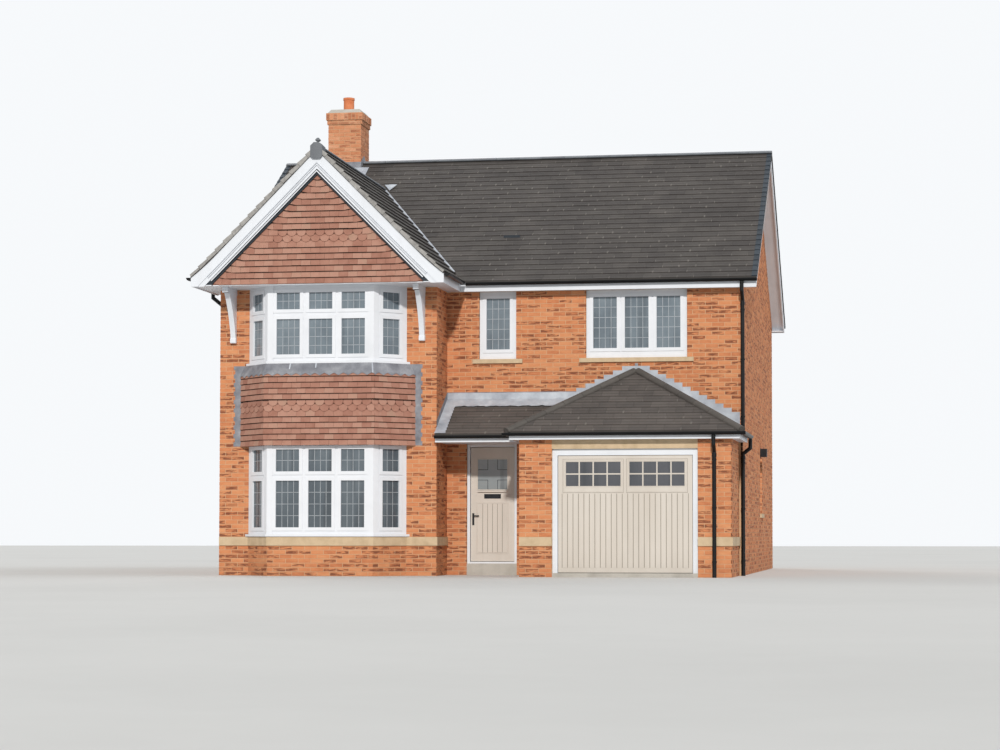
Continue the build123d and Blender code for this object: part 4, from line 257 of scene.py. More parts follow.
def node(tree, kind, inputs=None, **settings):
    """A node with its settings made and its inputs filled."""
    made_node = tree.nodes.new(kind)
    for key, value in settings.items():
        setattr(made_node, key, value)
    fill(tree, made_node, inputs or {})
    return made_node


def maths(tree, operation, *values, clamp=False):
    """Result of a sum on one value or two."""
    return node(tree, "ShaderNodeMath", dict(enumerate(values)), operation=operation,
                use_clamp=clamp).outputs[0]


def product(tree, first, *others):
    """All the values multiplied together."""
    for other in others:
        first = maths(tree, "MULTIPLY", first, other)
    return first


def distance(tree, value, centre):
    """How far a value lies from a centre."""
    return maths(tree, "ABSOLUTE", maths(tree, "SUBTRACT", value, centre))


def remap(tree, value, low, high, to_low=0.0, to_high=1.0):
    """A value carried from one range to another and kept inside it."""
    return node(tree, "ShaderNodeMapRange", {"Value": value, "From Min": low, "From Max": high,
                                             "To Min": to_low, "To Max": to_high}).outputs[0]


def noise(tree, vector, scale, detail=2.0, roughness=0.5):
    """Fractal noise from 0 to 1."""
    return node(tree, "ShaderNodeTexNoise", {"Vector": vector, "Scale": scale, "Detail": detail,
                                             "Roughness": roughness}).outputs["Fac"]


def scaled(tree, vector, sizes):
    """The place with each direction drawn together by its own size."""
    return node(tree, "ShaderNodeMapping", {"Vector": vector, "Scale": sizes}).outputs[0]


def mark(tree, label):
    """One of the three marks that each corner carries."""
    return node(tree, "ShaderNodeAttribute", attribute_name=label).outputs["Fac"]


def blend(tree, share, colour, other):
    """Two colours mixed by a share of the second."""
    return node(tree, "ShaderNodeMixRGB", {"Fac": share, "Color1": colour,
                                           "Color2": other}).outputs["Color"]


def new_group(name, inputs, outputs=None):
    """A node group and the sockets its nodes read. Every group takes the place; a further input is
    a colour where its value has four parts, and a number otherwise. Its output is a colour, or the
    named numbers."""
    group = groups[name] = bpy.data.node_groups.new(name, "ShaderNodeTree")
    for label, value in {"Vector": None, **inputs}.items():
        kind = "Vector" if value is None else "Color" if isinstance(value, tuple) else "Float"
        socket = group.interface.new_socket(name=label, in_out="INPUT",
                                            socket_type="NodeSocket" + kind)
        if value is not None:
            socket.default_value = value
    for label in outputs or ["Color"]:
        group.interface.new_socket(name=label, in_out="OUTPUT",
                                   socket_type="NodeSocketFloat" if outputs else "NodeSocketColor")
    return group, node(group, "NodeGroupInput").outputs


# %% The grain group: clouds and fine grain at two sizes
tree, given = new_group("grain", {"Broad": 1.0, "Fine": 20.0}, ["Cloud", "Grain"])
node(tree, "NodeGroupOutput", {"Cloud": noise(tree, given["Vector"], given["Broad"], 5.0, 0.6),
                               "Grain": noise(tree, given["Vector"], given["Fine"], 4.0, 0.65)})

# %% The weather group: splash dirt near the ground and faint runs of rain; on the glass the same dark blend is painted reflection
GREY = (0.5, 0.5, 0.5, 1.0)
tree, given = new_group("weather", {"Color": GREY, "Dirt": (0.1, 0.08, 0.06, 1.0),
                                    "Amount": 0.3, "Splash height": 0.6})
level = node(tree, "ShaderNodeSeparateXYZ", {"Vector": given["Vector"]}).outputs["Z"]
level = maths(tree, "DIVIDE", level, given["Splash height"])
splashed = maths(tree, "SUBTRACT", 1.0, level, clamp=True)
runs = noise(tree, scaled(tree, given["Vector"], (6.0, 6.0, 0.5)), 1.0, 4.0)
dirty = maths(tree, "ADD", splashed, remap(tree, runs, 0.5, 0.75, 0.0, 0.6), clamp=True)
dirty = product(tree, dirty, given["Amount"])
node(tree, "NodeGroupOutput", {"Color": blend(tree, dirty, given["Color"], given["Dirt"])})

# %% The smear group: dark kiln marks that are drawn out along some of the bricks
tree, given = new_group("smear", {"Color": GREY, "Smear": (0.06, 0.03, 0.02, 1.0), "Amount": 0.0})
blots = noise(tree, scaled(tree, given["Vector"], (6.5, 6.5, 34.0)), 1.0, 3.0, 0.6)
lot = maths(tree, "FRACT", product(tree, mark(tree, "tone"), 7.31))
off_middle = distance(tree, mark(tree, "rise"), 0.45)
smeared = product(tree, remap(tree, blots, 0.42, 0.54), remap(tree, lot, 0.48, 0.6),
                  remap(tree, off_middle, 0.5, 0.25), given["Amount"])
node(tree, "NodeGroupOutput", {"Color": blend(tree, smeared, given["Color"], given["Smear"])})

# %% The lap group: painted shade with some dirt under each lap, a faint line across each tile, and painted highlights at the ends of some tails
tree, given = new_group("lap", {"Color": GREY, "Dark": (0.02, 0.015, 0.01, 1.0), "Lap": 0.0,
                                "Start": 0.8, "Middle": 0.0, "Pale": (0.5, 0.48, 0.45, 1.0),
                                "Tail highlight": 0.0})
height = mark(tree, "rise")
# The dark band just under each upper tail is painted shade, with some dirt.
under = remap(tree, height, given["Start"], maths(tree, "ADD", given["Start"], 0.12))
across_middle = remap(tree, distance(tree, height, 0.42), 0.16, 0.04)
dark = maths(tree, "MAXIMUM", product(tree, under, given["Lap"]),
             product(tree, across_middle, given["Middle"]))
# Pale marks at the ends of some tails, low on the tile, are painted highlight.
ends = remap(tree, distance(tree, mark(tree, "across"), 0.5), 0.44, 0.485)
some = maths(tree, "GREATER_THAN", mark(tree, "tone"), 0.35)
patch = remap(tree, noise(tree, given["Vector"], 2.1), 0.45, 0.6)
tail_highlight = product(tree, ends, remap(tree, height, 0.5, 0.2), some, patch, given["Tail highlight"])
darkened = blend(tree, dark, given["Color"], given["Dark"])
node(tree, "NodeGroupOutput", {"Color": blend(tree, tail_highlight, darkened, given["Pale"])})

# %% [markdown]
# A finish is then one call: a ramp of colours read by the tone of each brick or tile together with
# the broad cloud, the smears or laps and the weather over it, roughness that varies with the grain,
# and a bump.


# %% One finish from its colours and sizes
def finish(name, colours, broad, fine, rough, bump, depth, toned, dirt, stretch=(1, 1, 1), splash_and_reflection_height=0.5,
           dirt_and_reflection_colour="4A4038", smears=None, laps=None, **constants):
    """A procedural material. The ramp is read at cloud contrast + toned times the tone; the
    roughness and the bump follow the fine grain. Constants go onto the shader's own sockets."""
    mat = finishes[name] = bpy.data.materials.new(name)
    mat.use_nodes = True
    tree = mat.node_tree
    place = node(tree, "ShaderNodeTexCoord").outputs["Object"]
    grains = node(tree, "ShaderNodeGroup", {"Vector": scaled(tree, place, stretch), "Broad": broad,
                                            "Fine": fine}, node_tree=groups["grain"]).outputs
    swing = 0.9 * (1 - toned) / 2
    source = remap(tree, grains["Cloud"], 0.3, 0.7, 0.5 - swing, 0.5 + swing)
    if toned:
        own = remap(tree, mark(tree, "tone"), 0.0, 1.0, -toned / 2, toned / 2)
        source = maths(tree, "ADD", source, own)
    ramp = node(tree, "ShaderNodeValToRGB", {"Fac": source})
    stops, codes = ramp.color_ramp.elements, colours.split()
    for i, code in enumerate(codes):
        share = i / (len(codes) - 1)
        stop = stops[i] if i < 2 else stops.new(share)
        stop.position, stop.color = share, shade(code)
    colour = ramp.outputs["Color"]
    weather = {"Dirt": dirt_and_reflection_colour, "Amount": dirt, "Splash height": splash_and_reflection_height}
    for effect, values in (("smear", smears), ("lap", laps), ("weather", weather)):
        if values:
            values = {key: shade(v) if isinstance(v, str) else v for key, v in values.items()}
            colour = node(tree, "ShaderNodeGroup", {"Vector": place, "Color": colour, **values},
                          node_tree=groups[effect]).outputs["Color"]
    relief = node(tree, "ShaderNodeBump", {"Height": grains["Grain"], "Strength": bump,
                                           "Distance": depth}).outputs[0]
    constants = {"Specular_IOR_Level": 0.25, "Metallic": 0.0, **constants}
    fill(tree, tree.nodes["Principled BSDF"],
         {"Base Color": colour, "Roughness": remap(tree, grains["Grain"], 0.3, 0.7, *rough),
          "Normal": relief, **{key.replace("_", " "): v for key, v in constants.items()}})
    return mat


# %% [markdown]
# ## The finishes of this house
# The bricks are a sand-faced orange-red with some dark-burnt ones, laid in a buff mortar. The roof
# tiles are a flat slate-grey, the hung tiles a soft pinkish red, the stone a pale cream. Each row
# gives the colours, the sizes of the clouds and the grain, the range of roughness, the bump and its
# depth, how much each brick or tile has a tone of its own, the dirt, and what is rarer by its name.

# %% Masonry, roofing, boards, metal and paint
BRICKS = {"stretch": (1, 1, 3.2)}
# On the roofs the lap group paints shade with some dirt under each tail, and highlights at the ends of
# some tails.
LAPPED = {"laps": {"Dark": "1C1917", "Lap": 0.3, "Middle": 0.3, "Pale": "9A958D", "Tail highlight": 0.4},
          "dirt_and_reflection_colour": "2B2824", "Specular_IOR_Level": 0.3}
TABLE = {
    "brick": ("AD6A48 BD7852 CA855B CE8D63 D59A6E", 7.0, 150.0, (0.8, 0.98), 0.5, 0.003, 0.5, 0.1,
              {"smears": {"Smear": "744634", "Amount": 0.9}, **BRICKS}),
    "mortar": ("C09A76 CCA885 C6A07C", 2.0, 220.0, (0.85, 1.0), 0.4, 0.002, 0, 0.12),
    "chimney_brick": ("B06E4E C88762 D0936F D9A888", 9.0, 160.0, (0.8, 0.98), 0.5, 0.003, 0.55, 0.05,
                      {"smears": {"Smear": "85503C", "Amount": 0.6}, **BRICKS}),
    "stone": ("B7A183 C8B293 B39D7F", 3.0, 140.0, (0.7, 0.9), 0.3, 0.002, 0, 0.2,
              {"dirt_and_reflection_colour": "6B6048"}),
    "concrete": ("A8A49B BDB9B1 9E9A92", 1.5, 90.0, (0.75, 0.95), 0.35, 0.003, 0, 0.15),
    "plaster": ("DAD5CB E4E0D7 D3CDC2", 0.8, 60.0, (0.75, 0.9), 0.12, 0.002, 0, 0.06),
    "roof_tile": ("393634 433F3D 4D4946 585350", 1.1, 120.0, (0.62, 0.85), 0.45, 0.003, 0.35, 0.1,
                  LAPPED),
    "low_tile": ("45413E 504B48 5B5551 66605C", 1.1, 120.0, (0.62, 0.85), 0.45, 0.003, 0.35, 0.1,
                 LAPPED),
    "ridge_tile": ("62656A 71757A 82868B", 2.5, 120.0, (0.55, 0.8), 0.4, 0.003, 0.4, 0.08,
                   {"Specular_IOR_Level": 0.35}),
    "hip_tile": ("46423F 524E4A 5E5955", 2.5, 120.0, (0.6, 0.8), 0.4, 0.003, 0.4, 0.08,
                 {"Specular_IOR_Level": 0.3}),
    "cloak": ("272E35 313941 3D454D", 3.0, 110.0, (0.5, 0.7), 0.3, 0.002, 0.4, 0.05),
    "verge_bed": ("7D7B79 989693 AEACA8", 14.0, 90.0, (0.85, 1.0), 0.6, 0.004, 0.2, 0.1),
    # The hung tiles' strong dark band under each lap is painted shade with some dirt; their pale marks
    # at the tails are painted highlight.
    "hung_tile": ("906453 9D7060 A67A69 AF8574 A48471", 6.0, 170.0, (0.75, 0.95), 0.45, 0.002, 0.6,
                  0.06, {"laps": {"Dark": "1C0F0A", "Lap": 1.0, "Start": 0.62, "Pale": "C9A68F",
                                  "Tail highlight": 0.25}}),
    "lead": ("66686F 7A7C83 8B8D93 A3A5AA", 4.0, 38.0, (0.5, 0.7), 0.4, 0.005, 0, 0.15,
             {"dirt_and_reflection_colour": "5C5E64", "Metallic": 0.1}),
    "fresh_lead": ("8E949D A5AAB3 B3B9C1 C6CBD2", 3.0, 38.0, (0.5, 0.7), 0.4, 0.005, 0, 0.15,
                   {"dirt_and_reflection_colour": "7A7F88", "Metallic": 0.1}),
    "terracotta": ("C06A42 D07D54 DB8F68", 6.0, 90.0, (0.65, 0.85), 0.3, 0.003, 0, 0.2,
                   {"dirt_and_reflection_colour": "6B4A38"}),
    "white_board": ("D3D7DD DDE1E7 D8DCE2", 1.2, 60.0, (0.35, 0.5), 0.06, 0.002, 0, 0.08,
                    {"stretch": (1, 1, 0.3), "dirt_and_reflection_colour": "8B8778"}),
    "white_frame": ("D8DBE0 E0E3E8 DCDFE4", 1.5, 80.0, (0.25, 0.38), 0.04, 0.001, 0, 0.06,
                    {"dirt_and_reflection_colour": "8E8B80"}),
    "bead": ("D2D5DA DCDFE4 D7DADF", 2.0, 90.0, (0.3, 0.45), 0.06, 0.001, 0, 0.05,
             {"dirt_and_reflection_colour": "8E8B80"}),
    "dark_trim": ("20262C 2B3239 252B31", 2.0, 80.0, (0.5, 0.7), 0.15, 0.002, 0, 0.05),
    "rainwater": ("0A0B0C 0F1012 151618", 3.0, 60.0, (0.3, 0.45), 0.08, 0.001, 0, 0.06,
                  {"dirt_and_reflection_colour": "3A3936", "Specular_IOR_Level": 0.22}),
    # Painted shade for the grooves between the doors' boards and round their mouldings.
    "groove_shade": ("857D72 928A7F 8B8378", 3.0, 90.0, (0.6, 0.8), 0.2, 0.001, 0, 0.1),
    "door_paint": ("C6BEB4 CDC6BD C9C1B7", 1.3, 110.0, (0.38, 0.52), 0.08, 0.001, 0, 0.12,
                   {"stretch": (1, 1, 0.25), "dirt_and_reflection_colour": "7F776A"}),
    "ironwork": ("17181A 232427 2E2F33", 6.0, 160.0, (0.3, 0.5), 0.15, 0.001, 0, 0.05,
                 {"Metallic": 0.6}),
    "galvanised": ("8E9294 A3A7A9 B4B8BA", 14.0, 120.0, (0.3, 0.5), 0.1, 0.001, 0, 0.08,
                   {"Metallic": 0.85}),
    "timber": ("B4905F C4A273 A9845A", 1.5, 40.0, (0.6, 0.8), 0.2, 0.002, 0, 0.05,
               {"stretch": (1.0, 8.0, 8.0)}),
    "came": ("9AA0A5 A9AEB3 B6BBBF", 9.0, 90.0, (0.35, 0.55), 0.2, 0.001, 0, 0.03, {"Metallic": 0.2}),
}
for name, row in TABLE.items():
    rare = row[8] if len(row) > 8 else {}
    finish(name, *row[:8], **rare)

# %% [markdown]
# Sealed glazing is a soft grey-blue that is deeper in the lower storey and partly clear, with faint
# waves in its bump, as float glass panes never lie quite flat. That grey-blue, and the deepening that
# the weather group's dark blend draws up to 4.4 m on all three glasses, are painted reflection.

# %% Glass
for name, colours, clear in (("glass", "5F6B75 76838C 8B969E", 0.15),
                             ("frosted", "9AA5A8 AFB8BA C0C7C8", 0.1),
                             ("garage_pane", "5A5A60 68686E 77777C", 0.1)):
    # The dirt settings here are painted reflection: a dark blend that is strongest near the ground and
    # reaches up to 4.4 m.
    finish(name, colours, 1.1, 2.2, (0.04, 0.09), 0.05, 0.01, 0, 0.75, splash_and_reflection_height=4.4,
           dirt_and_reflection_colour="33383D", Specular_IOR_Level=0.6, Transmission_Weight=clear, IOR=1.5)
print("finishes:", len(finishes))

# %% [markdown]
# ## Finishes on the solid model's own nodes
# A node whose shape is right only needs its finish. The outer leaf of bricks is laid over the walls
# further on, so the walls themselves carry the mortar.

# %% Give every node its finish
FINISHES = {
    "mortar": "left_wall right_wall rear_wall front_wall_upper front_wall_beside_door "
              "gable_front_piers gable_front_beams gable_return_wall garage_side_walls "
              "bay_base_wall chimney_stack",
    "timber": "garage_wall_plate first_floor",
    "concrete": "ground_floor garage_floor chimney_capping",
    "plaster": "upper_ceiling",
    "hung_tile": "bay_skirt gable_tile_panel",
    "roof_tile": "main_roof_front main_roof_rear gable_roof_left gable_roof_right garage_roof "
                 "porch_roof",
    "ridge_tile": "ridge_tiles gable_finial",
    "lead": "bay_apron lead_flashings",
    "white_board": "gable_bargeboards jetty_brackets soffits fascias verge_boards "
                   "garage_door_frame",
    "white_frame": "bay_window_frames window_frames door_frame",
    # gable_verge_trim is drawn dark: partly a dark trim, partly painted shade under the bargeboard.
    "dark_trim": "gable_verge_trim roof_vent",
    "rainwater": "gutters downpipes",
    "terracotta": "chimney_pot",
    "stone": "stone_band stone_sills_and_lintel",
    "door_paint": "front_door_leaf garage_door_leaf",
    "ironwork": "front_door_handle wall_lantern",
    "galvanised": "garage_door_tracks garage_door_arms garage_door_carriers",
    "glass": "bay_glass window_glass",
    "garage_pane": "garage_door_glass",
    "frosted": "front_door_glass",
}
for label, names in FINISHES.items():
    for name in names.split():
        nodes[name].data.materials.clear()
        nodes[name].data.materials.append(finishes[label])
left_plain = [name for name in nodes if name not in " ".join(FINISHES.values()).split()]
print("nodes without a finish:", left_plain)

# %% [markdown]
# ## The outer leaf of bricks
# Each wall's face gets its own bond, with the windows and doors taken out. At a corner one wall
# starts with a whole brick where the other starts with a half, so that the corner is laced as a
# bricklayer laces it. The bricks stand 4 mm proud of the mortar, by a little more or less each.

# %% Lay a wall
PROUD, BED = 0.004, 0.03
VERGE_DROP = 0.187


def lay(rects, corner, normal, top=None):
    """Bricks on one upright face from its corner (x, y) on. top gives the level of a slanting top
    at each u."""
    edit = None
    if top is not None:
        def edit(u, v):
            """Corners above the slanting line come down onto it."""
            return u, np.minimum(v, top(u))
    proud = PROUD + rng.uniform(-0.0012, 0.0012, len(rects))
    return slabs(rects, upright((*corner, 0), normal), proud, -BED, edit=edit)


def right_top(u):
    """Level of the end wall's slanting top: the underside of the verge's soffit."""
    return main_level(FRONT + u) - VERGE_DROP


def left_top(u):
    """The verge's underside over the main body, and the flat soffit under the gable's eave."""
    y = REAR - u
    return np.where(y < -4.52, SOFFIT, main_level(y) - VERGE_DROP)


# %% Front walls
front = opening(bond(0.0, 5.25, LOW_SOFFIT, SOFFIT), 0.583, 1.247, HIGH_FOOT, SOFFIT)
front = opening(front, 2.4985, 4.2865, HIGH_FOOT, SOFFIT)
beside = np.concatenate([bond(0.0, 0.36, 0.0, LOW_SOFFIT), bond(1.26, 1.6, 0.0, LOW_SOFFIT, 1)])
piece("bricks_front", "brick",
      lay(front, (GABLE_RIGHT, FRONT), (0, -1)),
      lay(beside, (GABLE_RIGHT, FRONT), (0, -1)),
      lay(bond(0.0, 0.53, 0.0, SOFFIT, 1), (LEFT, GABLE_FRONT), (0, -1)),
      lay(bond(3.37, 3.9, 0.0, SOFFIT), (LEFT, GABLE_FRONT), (0, -1)),
      lay(bond(0.0, 0.9, 0.0, SOFFIT, 1), (GABLE_RIGHT, GABLE_FRONT), (1, 0)))

# %% Side and rear walls
SIDE_EDGES, SIDE_HEAD, SIDE_TOP, SIDE_DEPTH = (4.62, 5.22), 2.375, 2.585, 0.085
side = opening(bond(0.0, 8.6, 0.0, 8.0, 1), *SIDE_EDGES, SIDE_FOOT, SIDE_TOP)
side = np.concatenate([side, soldiers(*SIDE_EDGES, SIDE_HEAD, SIDE_TOP)])
reveal = bond(0.0, SIDE_DEPTH, SIDE_FOOT, SIDE_HEAD)
piece("bricks_right", "brick", lay(side, (RIGHT, FRONT), (1, 0), right_top),
      lay(reveal, (RIGHT, 0.32), (0, 1)), lay(reveal, (RIGHT - SIDE_DEPTH, 0.92), (0, -1)))
piece("bricks_left", "brick", lay(bond(0.0, 9.5, 0.0, 8.0, 1), (LEFT, REAR), (-1, 0), left_top))
rear = bond(0.0, 9.15, 0.0, SOFFIT)
for low, high, extra in ((LOW_FOOT, 2.255, 0.215), (HIGH_FOOT, SOFFIT, 0.0)):
    for u0 in REAR_WINDOWS:
        u1 = u0 + REAR_WIDE
        rear = opening(rear, u0, u1, low, high + extra)
        if extra:
            rear = np.concatenate([rear, soldiers(u0, u1, high + 0.005, high + extra - 0.005)])
piece("bricks_rear", "brick", lay(rear, (RIGHT, REAR), (0, 1)))

# %% Garage walls and the base of the bay
s = math.sqrt(0.5)
cant = bond(0.0, BAY_OUT * math.sqrt(2), 0.0, 0.6, 1)
flank = bond(0.0, 1.7, 0.0, LOW_SOFFIT, 1)
piece("bricks_garage_and_bay", "brick",
      lay(np.concatenate([bond(0.0, 0.56, 0.0, LOW_SOFFIT), bond(3.025, 3.585, 0.0, LOW_SOFFIT)]),
          (GARAGE_LEFT, GARAGE_FRONT), (0, -1)),
      lay(flank, (GARAGE_LEFT, FRONT), (-1, 0)),
      lay(flank, (GARAGE_RIGHT, GARAGE_FRONT), (1, 0)),
      lay(bond(0.0, 2 * BAY_HALF, 0.0, 0.6), (GABLE_MID - BAY_HALF, GABLE_FRONT - BAY_OUT), (0, -1)),
      lay(cant, (GABLE_MID - BAY_HALF - BAY_OUT, GABLE_FRONT), (-s, -s)),
      lay(cant, (GABLE_MID + BAY_HALF, GABLE_FRONT - BAY_OUT), (s, -s)))

# %% [markdown]
# The stack has a plain shaft, one course set out by 20 mm, and a band of bricks on end set out by
# 40 mm under the capping. Its four faces are laid like small walls.

# %% Chimney
CX0, CX1, CY0, CY1 = -3.939, -3.280, -0.25, 0.42
SHAFT, SET_OUT, BAND = (7.72, 8.87), (8.875, 8.95), (8.96, 9.095)


def four_faces(out, make):
    """Bricks round the stack, set out from it: make(width, number) gives each face's rectangles."""
    x0, x1, y0, y1 = CX0 - out, CX1 + out, CY0 - out, CY1 + out
    corners = [((x0, y0), (0, -1), x1 - x0), ((x1, y0), (1, 0), y1 - y0),
               ((x1, y1), (0, 1), x1 - x0), ((x0, y1), (-1, 0), y1 - y0)]
    return [lay(make(width, i), corner, normal)
            for i, (corner, normal, width) in enumerate(corners)]


piece("bricks_chimney", "chimney_brick",
      *four_faces(0.0, lambda w, i: bond(0.0, w, *SHAFT, i % 2)),
      *four_faces(0.02, lambda w, i: clip(bond(0.0, w, 8.85, 8.955, i % 2), 0.0, w, *SET_OUT)),
      *four_faces(0.04, lambda w, i: soldiers(0.0, w, *BAND)))

# %% [markdown]
# ## Roof tiles
# A flat tile lies with its head under the course above, so its tail stands up and shows a thick
# dark edge. That edge draws the courses of a roof. A slope is a surface of u along the eave and v up
# the slope. Hips, valleys and verges are lines u = f(v): the corners of a tile that crosses one are
# moved onto it, which is how a tiler cuts it.

# %% Courses of tiles
GAUGE, TILE, TAIL, THICK_TAIL = 0.2075, 0.297, 0.014, 0.028


def tile_rects(u0, u1, length, gauge=GAUGE, width=TILE, gap=0.004):
    """Rectangles of tiles in broken bond: odd courses are shifted by half a tile, and every tail
    is a hair up or down."""
    rows = np.arange(math.ceil(length / gauge))
    cols = np.arange(-1, math.ceil((u1 - u0) / width) + 1)
    r, c = np.meshgrid(rows, cols, indexing="ij")
    start = u0 + c * width + (r % 2) * width / 2
    low = r * gauge + rng.uniform(-0.0018, 0.0018, r.shape)
    high = (r + 1) * gauge + 0.004
    return rectangles(start + gap / 2, start + width - gap / 2, low, high)


def straight(u):
    """A line that keeps one u in every course."""
    return lambda v: np.full(v.shape, float(u))


def between(low, high, length):
    """Corner edit that keeps u between two lines of v, and v between the eave and the top."""
    def edit(u, v):
        """Corners past a line are moved onto it."""
        v = np.clip(v, 0.0, length)
        return np.clip(u, low(v), np.maximum(low(v), high(v))), v
    return edit


def tiles(rects, place, edit, thick=TAIL):
    """Tiles with their tails up: the lower edge stands proud by a tail's thickness."""
    tail = thick + rng.uniform(-0.0015, 0.0015, len(rects))
    return slabs(rects, place, 0.003, -0.004, foot=tail, edit=edit)


# %% [markdown]
# The gable's roof meets the main roof in two valleys. At a level z the gable's slope stands a
# distance from its ridge: the ridge's level less z on the straight rafters, and a little further
# out on the kicked eave, where a square root undoes the curve.


# %% Valley line
KICK_CURVE = (TIP_LEVEL - KICK_LEVEL + TIP_REACH - KICK_REACH) / (TIP_REACH - KICK_REACH) ** 2


def gable_reach(z):
    """Distance of the gable's roof surface from its ridge line at a level."""
    inside = np.clip(1 - 4 * KICK_CURVE * (KICK_LEVEL - z), 0.0, None)
    kicked = KICK_REACH + (1 - np.sqrt(inside)) / (2 * KICK_CURVE)
    straight = GABLE_RIDGE - z
    return np.clip(np.where(z >= KICK_LEVEL, straight, kicked), 0.0, TIP_REACH)


print("valley foot", round(float(gable_reach(np.array(5.2))), 3), "m from the gable's ridge line")

# %% Main roof
MAIN_STRETCH = math.hypot(1, MAIN_PITCH)
MAIN_LENGTH, rise = EAVE_RUN * MAIN_STRETCH, MAIN_PITCH / MAIN_STRETCH
front_slope = plane((0, -EAVE_RUN, EAVE_LEVEL), (1, 0, 0), (0, 1, MAIN_PITCH))
rear_slope = plane((0, EAVE_RUN, EAVE_LEVEL), (-1, 0, 0), (0, -1, MAIN_PITCH))
rects = tile_rects(-VERGE_X, VERGE_X, MAIN_LENGTH)


def valley(side):
    """Line of the valley at one side of the gable."""
    def line(v):
        """X where the gable's slope has come down to the level at v up the main slope."""
        z = EAVE_LEVEL + v * rise
        return np.where(z < GABLE_RIDGE, GABLE_MID + side * gable_reach(z), -VERGE_X)
    return line


right_valley = valley(1)
piece("tiles_main_front", "roof_tile",
      tiles(rects, front_slope, between(right_valley, straight(VERGE_X), MAIN_LENGTH)),
      tiles(rects, front_slope, between(straight(-VERGE_X), valley(-1), MAIN_LENGTH)))
piece("tiles_main_rear", "roof_tile",
      tiles(rects, rear_slope, between(straight(-VERGE_X), straight(VERGE_X), MAIN_LENGTH)))

# %% [markdown]
# The end verges are dry: a narrow cloak is clipped over the end of every course, so each verge
# shows as a smooth blue-grey strip.

# %% Cloaks over the end verges
rows = np.arange(0.0, MAIN_LENGTH - 0.12, GAUGE)
piece("verge_cloaks", "cloak",
      *[slabs(rectangles(u0, u1, rows, rows + GAUGE + 0.01), place, 0.011, -0.004, foot=0.022)
        for u0, u1 in ((4.760, 4.853), (-4.853, -4.760)) for place in (front_slope, rear_slope)])

# %% [markdown]
# The gable's slope is a profile of distances up the slope, with the reach from the ridge and the
# level at each: thirteen points round the kick at the eave, then one straight rafter.

# %% Gable roof, with its kicked eaves
run_reach = np.concatenate([np.linspace(TIP_REACH, KICK_REACH, 13), [0.0]])
over = run_reach - KICK_REACH
run_level = np.where(over > 0, KICK_LEVEL - over + KICK_CURVE * over ** 2, GABLE_RIDGE - run_reach)
run_v = np.concatenate([[0.0], np.cumsum(np.hypot(np.diff(run_reach), np.diff(run_level)))])
GABLE_LENGTH = run_v[-1]


def gable_slope(side):
    """Place function of a gable slope: u towards the back from the verge, v up from the eave."""
    def place(u, v, d):
        """The reach and level at v come from the profile; d is square to the profile there."""
        ahead, behind = np.clip(v + 0.02, 0, GABLE_LENGTH), np.clip(v - 0.02, 0, GABLE_LENGTH)
        dr = np.interp(ahead, run_v, run_reach) - np.interp(behind, run_v, run_reach)
        dz = np.interp(ahead, run_v, run_level) - np.interp(behind, run_v, run_level)
        size = np.hypot(dr, dz)
        reach = np.interp(v, run_v, run_reach) + d * dz / size
        level = np.interp(v, run_v, run_level) - d * dr / size
        return np.stack([GABLE_MID + side * reach, GABLE_VERGE + u, level], axis=-1)
    return place


def valley_depth(v):
    """Run back from the verge to the valley: where the main roof's level is the slope's level."""
    z = np.interp(v, run_v, run_level)
    return -(EAVE_RUN - (z - EAVE_LEVEL) / MAIN_PITCH) - GABLE_VERGE


def flipped(part):
    """The same mesh with every face turned over, for a mirrored surface."""
    points, faces, tone = part
    return points, [face[::-1] for face in faces], tone


rects = tile_rects(0.0, 4.6, GABLE_LENGTH)
edit = between(straight(0.0), valley_depth, GABLE_LENGTH)
piece("tiles_gable_right", "roof_tile", tiles(rects, gable_slope(1), edit, THICK_TAIL))
piece("tiles_gable_left", "roof_tile", flipped(tiles(rects, gable_slope(-1), edit, THICK_TAIL)))

# %% [markdown]
# Seen from the front, each tile at the verge shows its end over the mortar bed on the bargeboard.
# The ends step up like teeth, and the bed gets thinner towards the eave.


# %% Bedded verge of the gable
def verge_face(side):
    """Place function of the roof's end: u up the slope, v out of it, d towards the front."""
    whole = gable_slope(side)
    return lambda u, v, d: whole(-d, u, v)


def toothed(u, v):
    """Each tile's end is 20 mm higher at its tail than at its head; the bed runs out at the tip."""
    bed = -0.018 - 0.034 * np.clip(u / 0.6, 0, 1) + rng.uniform(-0.006, 0.006, u.shape)
    top = np.broadcast_to([0.0, 0.0, 0.006, 0.027], u.shape)
    return np.clip(u, 0.0, GABLE_LENGTH), np.where([True, True, False, False], bed, top)


rows = np.arange(0.0, GABLE_LENGTH, GAUGE)
ends = rectangles(rows + 0.002, rows + GAUGE - 0.003, -0.075, 0.02)
left_ends, right_ends = (slabs(ends, verge_face(side), 0.005, -0.004, edit=toothed)
                         for side in (-1, 1))
piece("verge_tile_ends", "verge_bed", left_ends, flipped(right_ends))

# %% Garage and porch roofs
half_run, deep_run, climb = GARAGE_MID - LOW_LEFT, FRONT - LOW_FRONT, LOW_APEX - LOW_EAVE
FRONT_LENGTH, SIDE_LENGTH = math.hypot(deep_run, climb), math.hypot(half_run, climb)
PORCH_STRETCH = math.hypot(1, PORCH_PITCH)
PORCH_LENGTH = PORCH_DEPTH * PORCH_STRETCH
low_front = plane((LOW_LEFT, LOW_FRONT, LOW_EAVE), (1, 0, 0), (0, deep_run, climb))
low_right = plane((LOW_RIGHT, LOW_FRONT, LOW_EAVE), (0, 1, 0), (-half_run, 0, climb))
low_left = plane((LOW_LEFT, FRONT, LOW_EAVE), (0, -1, 0), (half_run, 0, climb))
porch = plane((GABLE_RIGHT, FRONT - PORCH_DEPTH, LOW_EAVE), (1, 0, 0), (0, 1, PORCH_PITCH))
wide = 2 * half_run


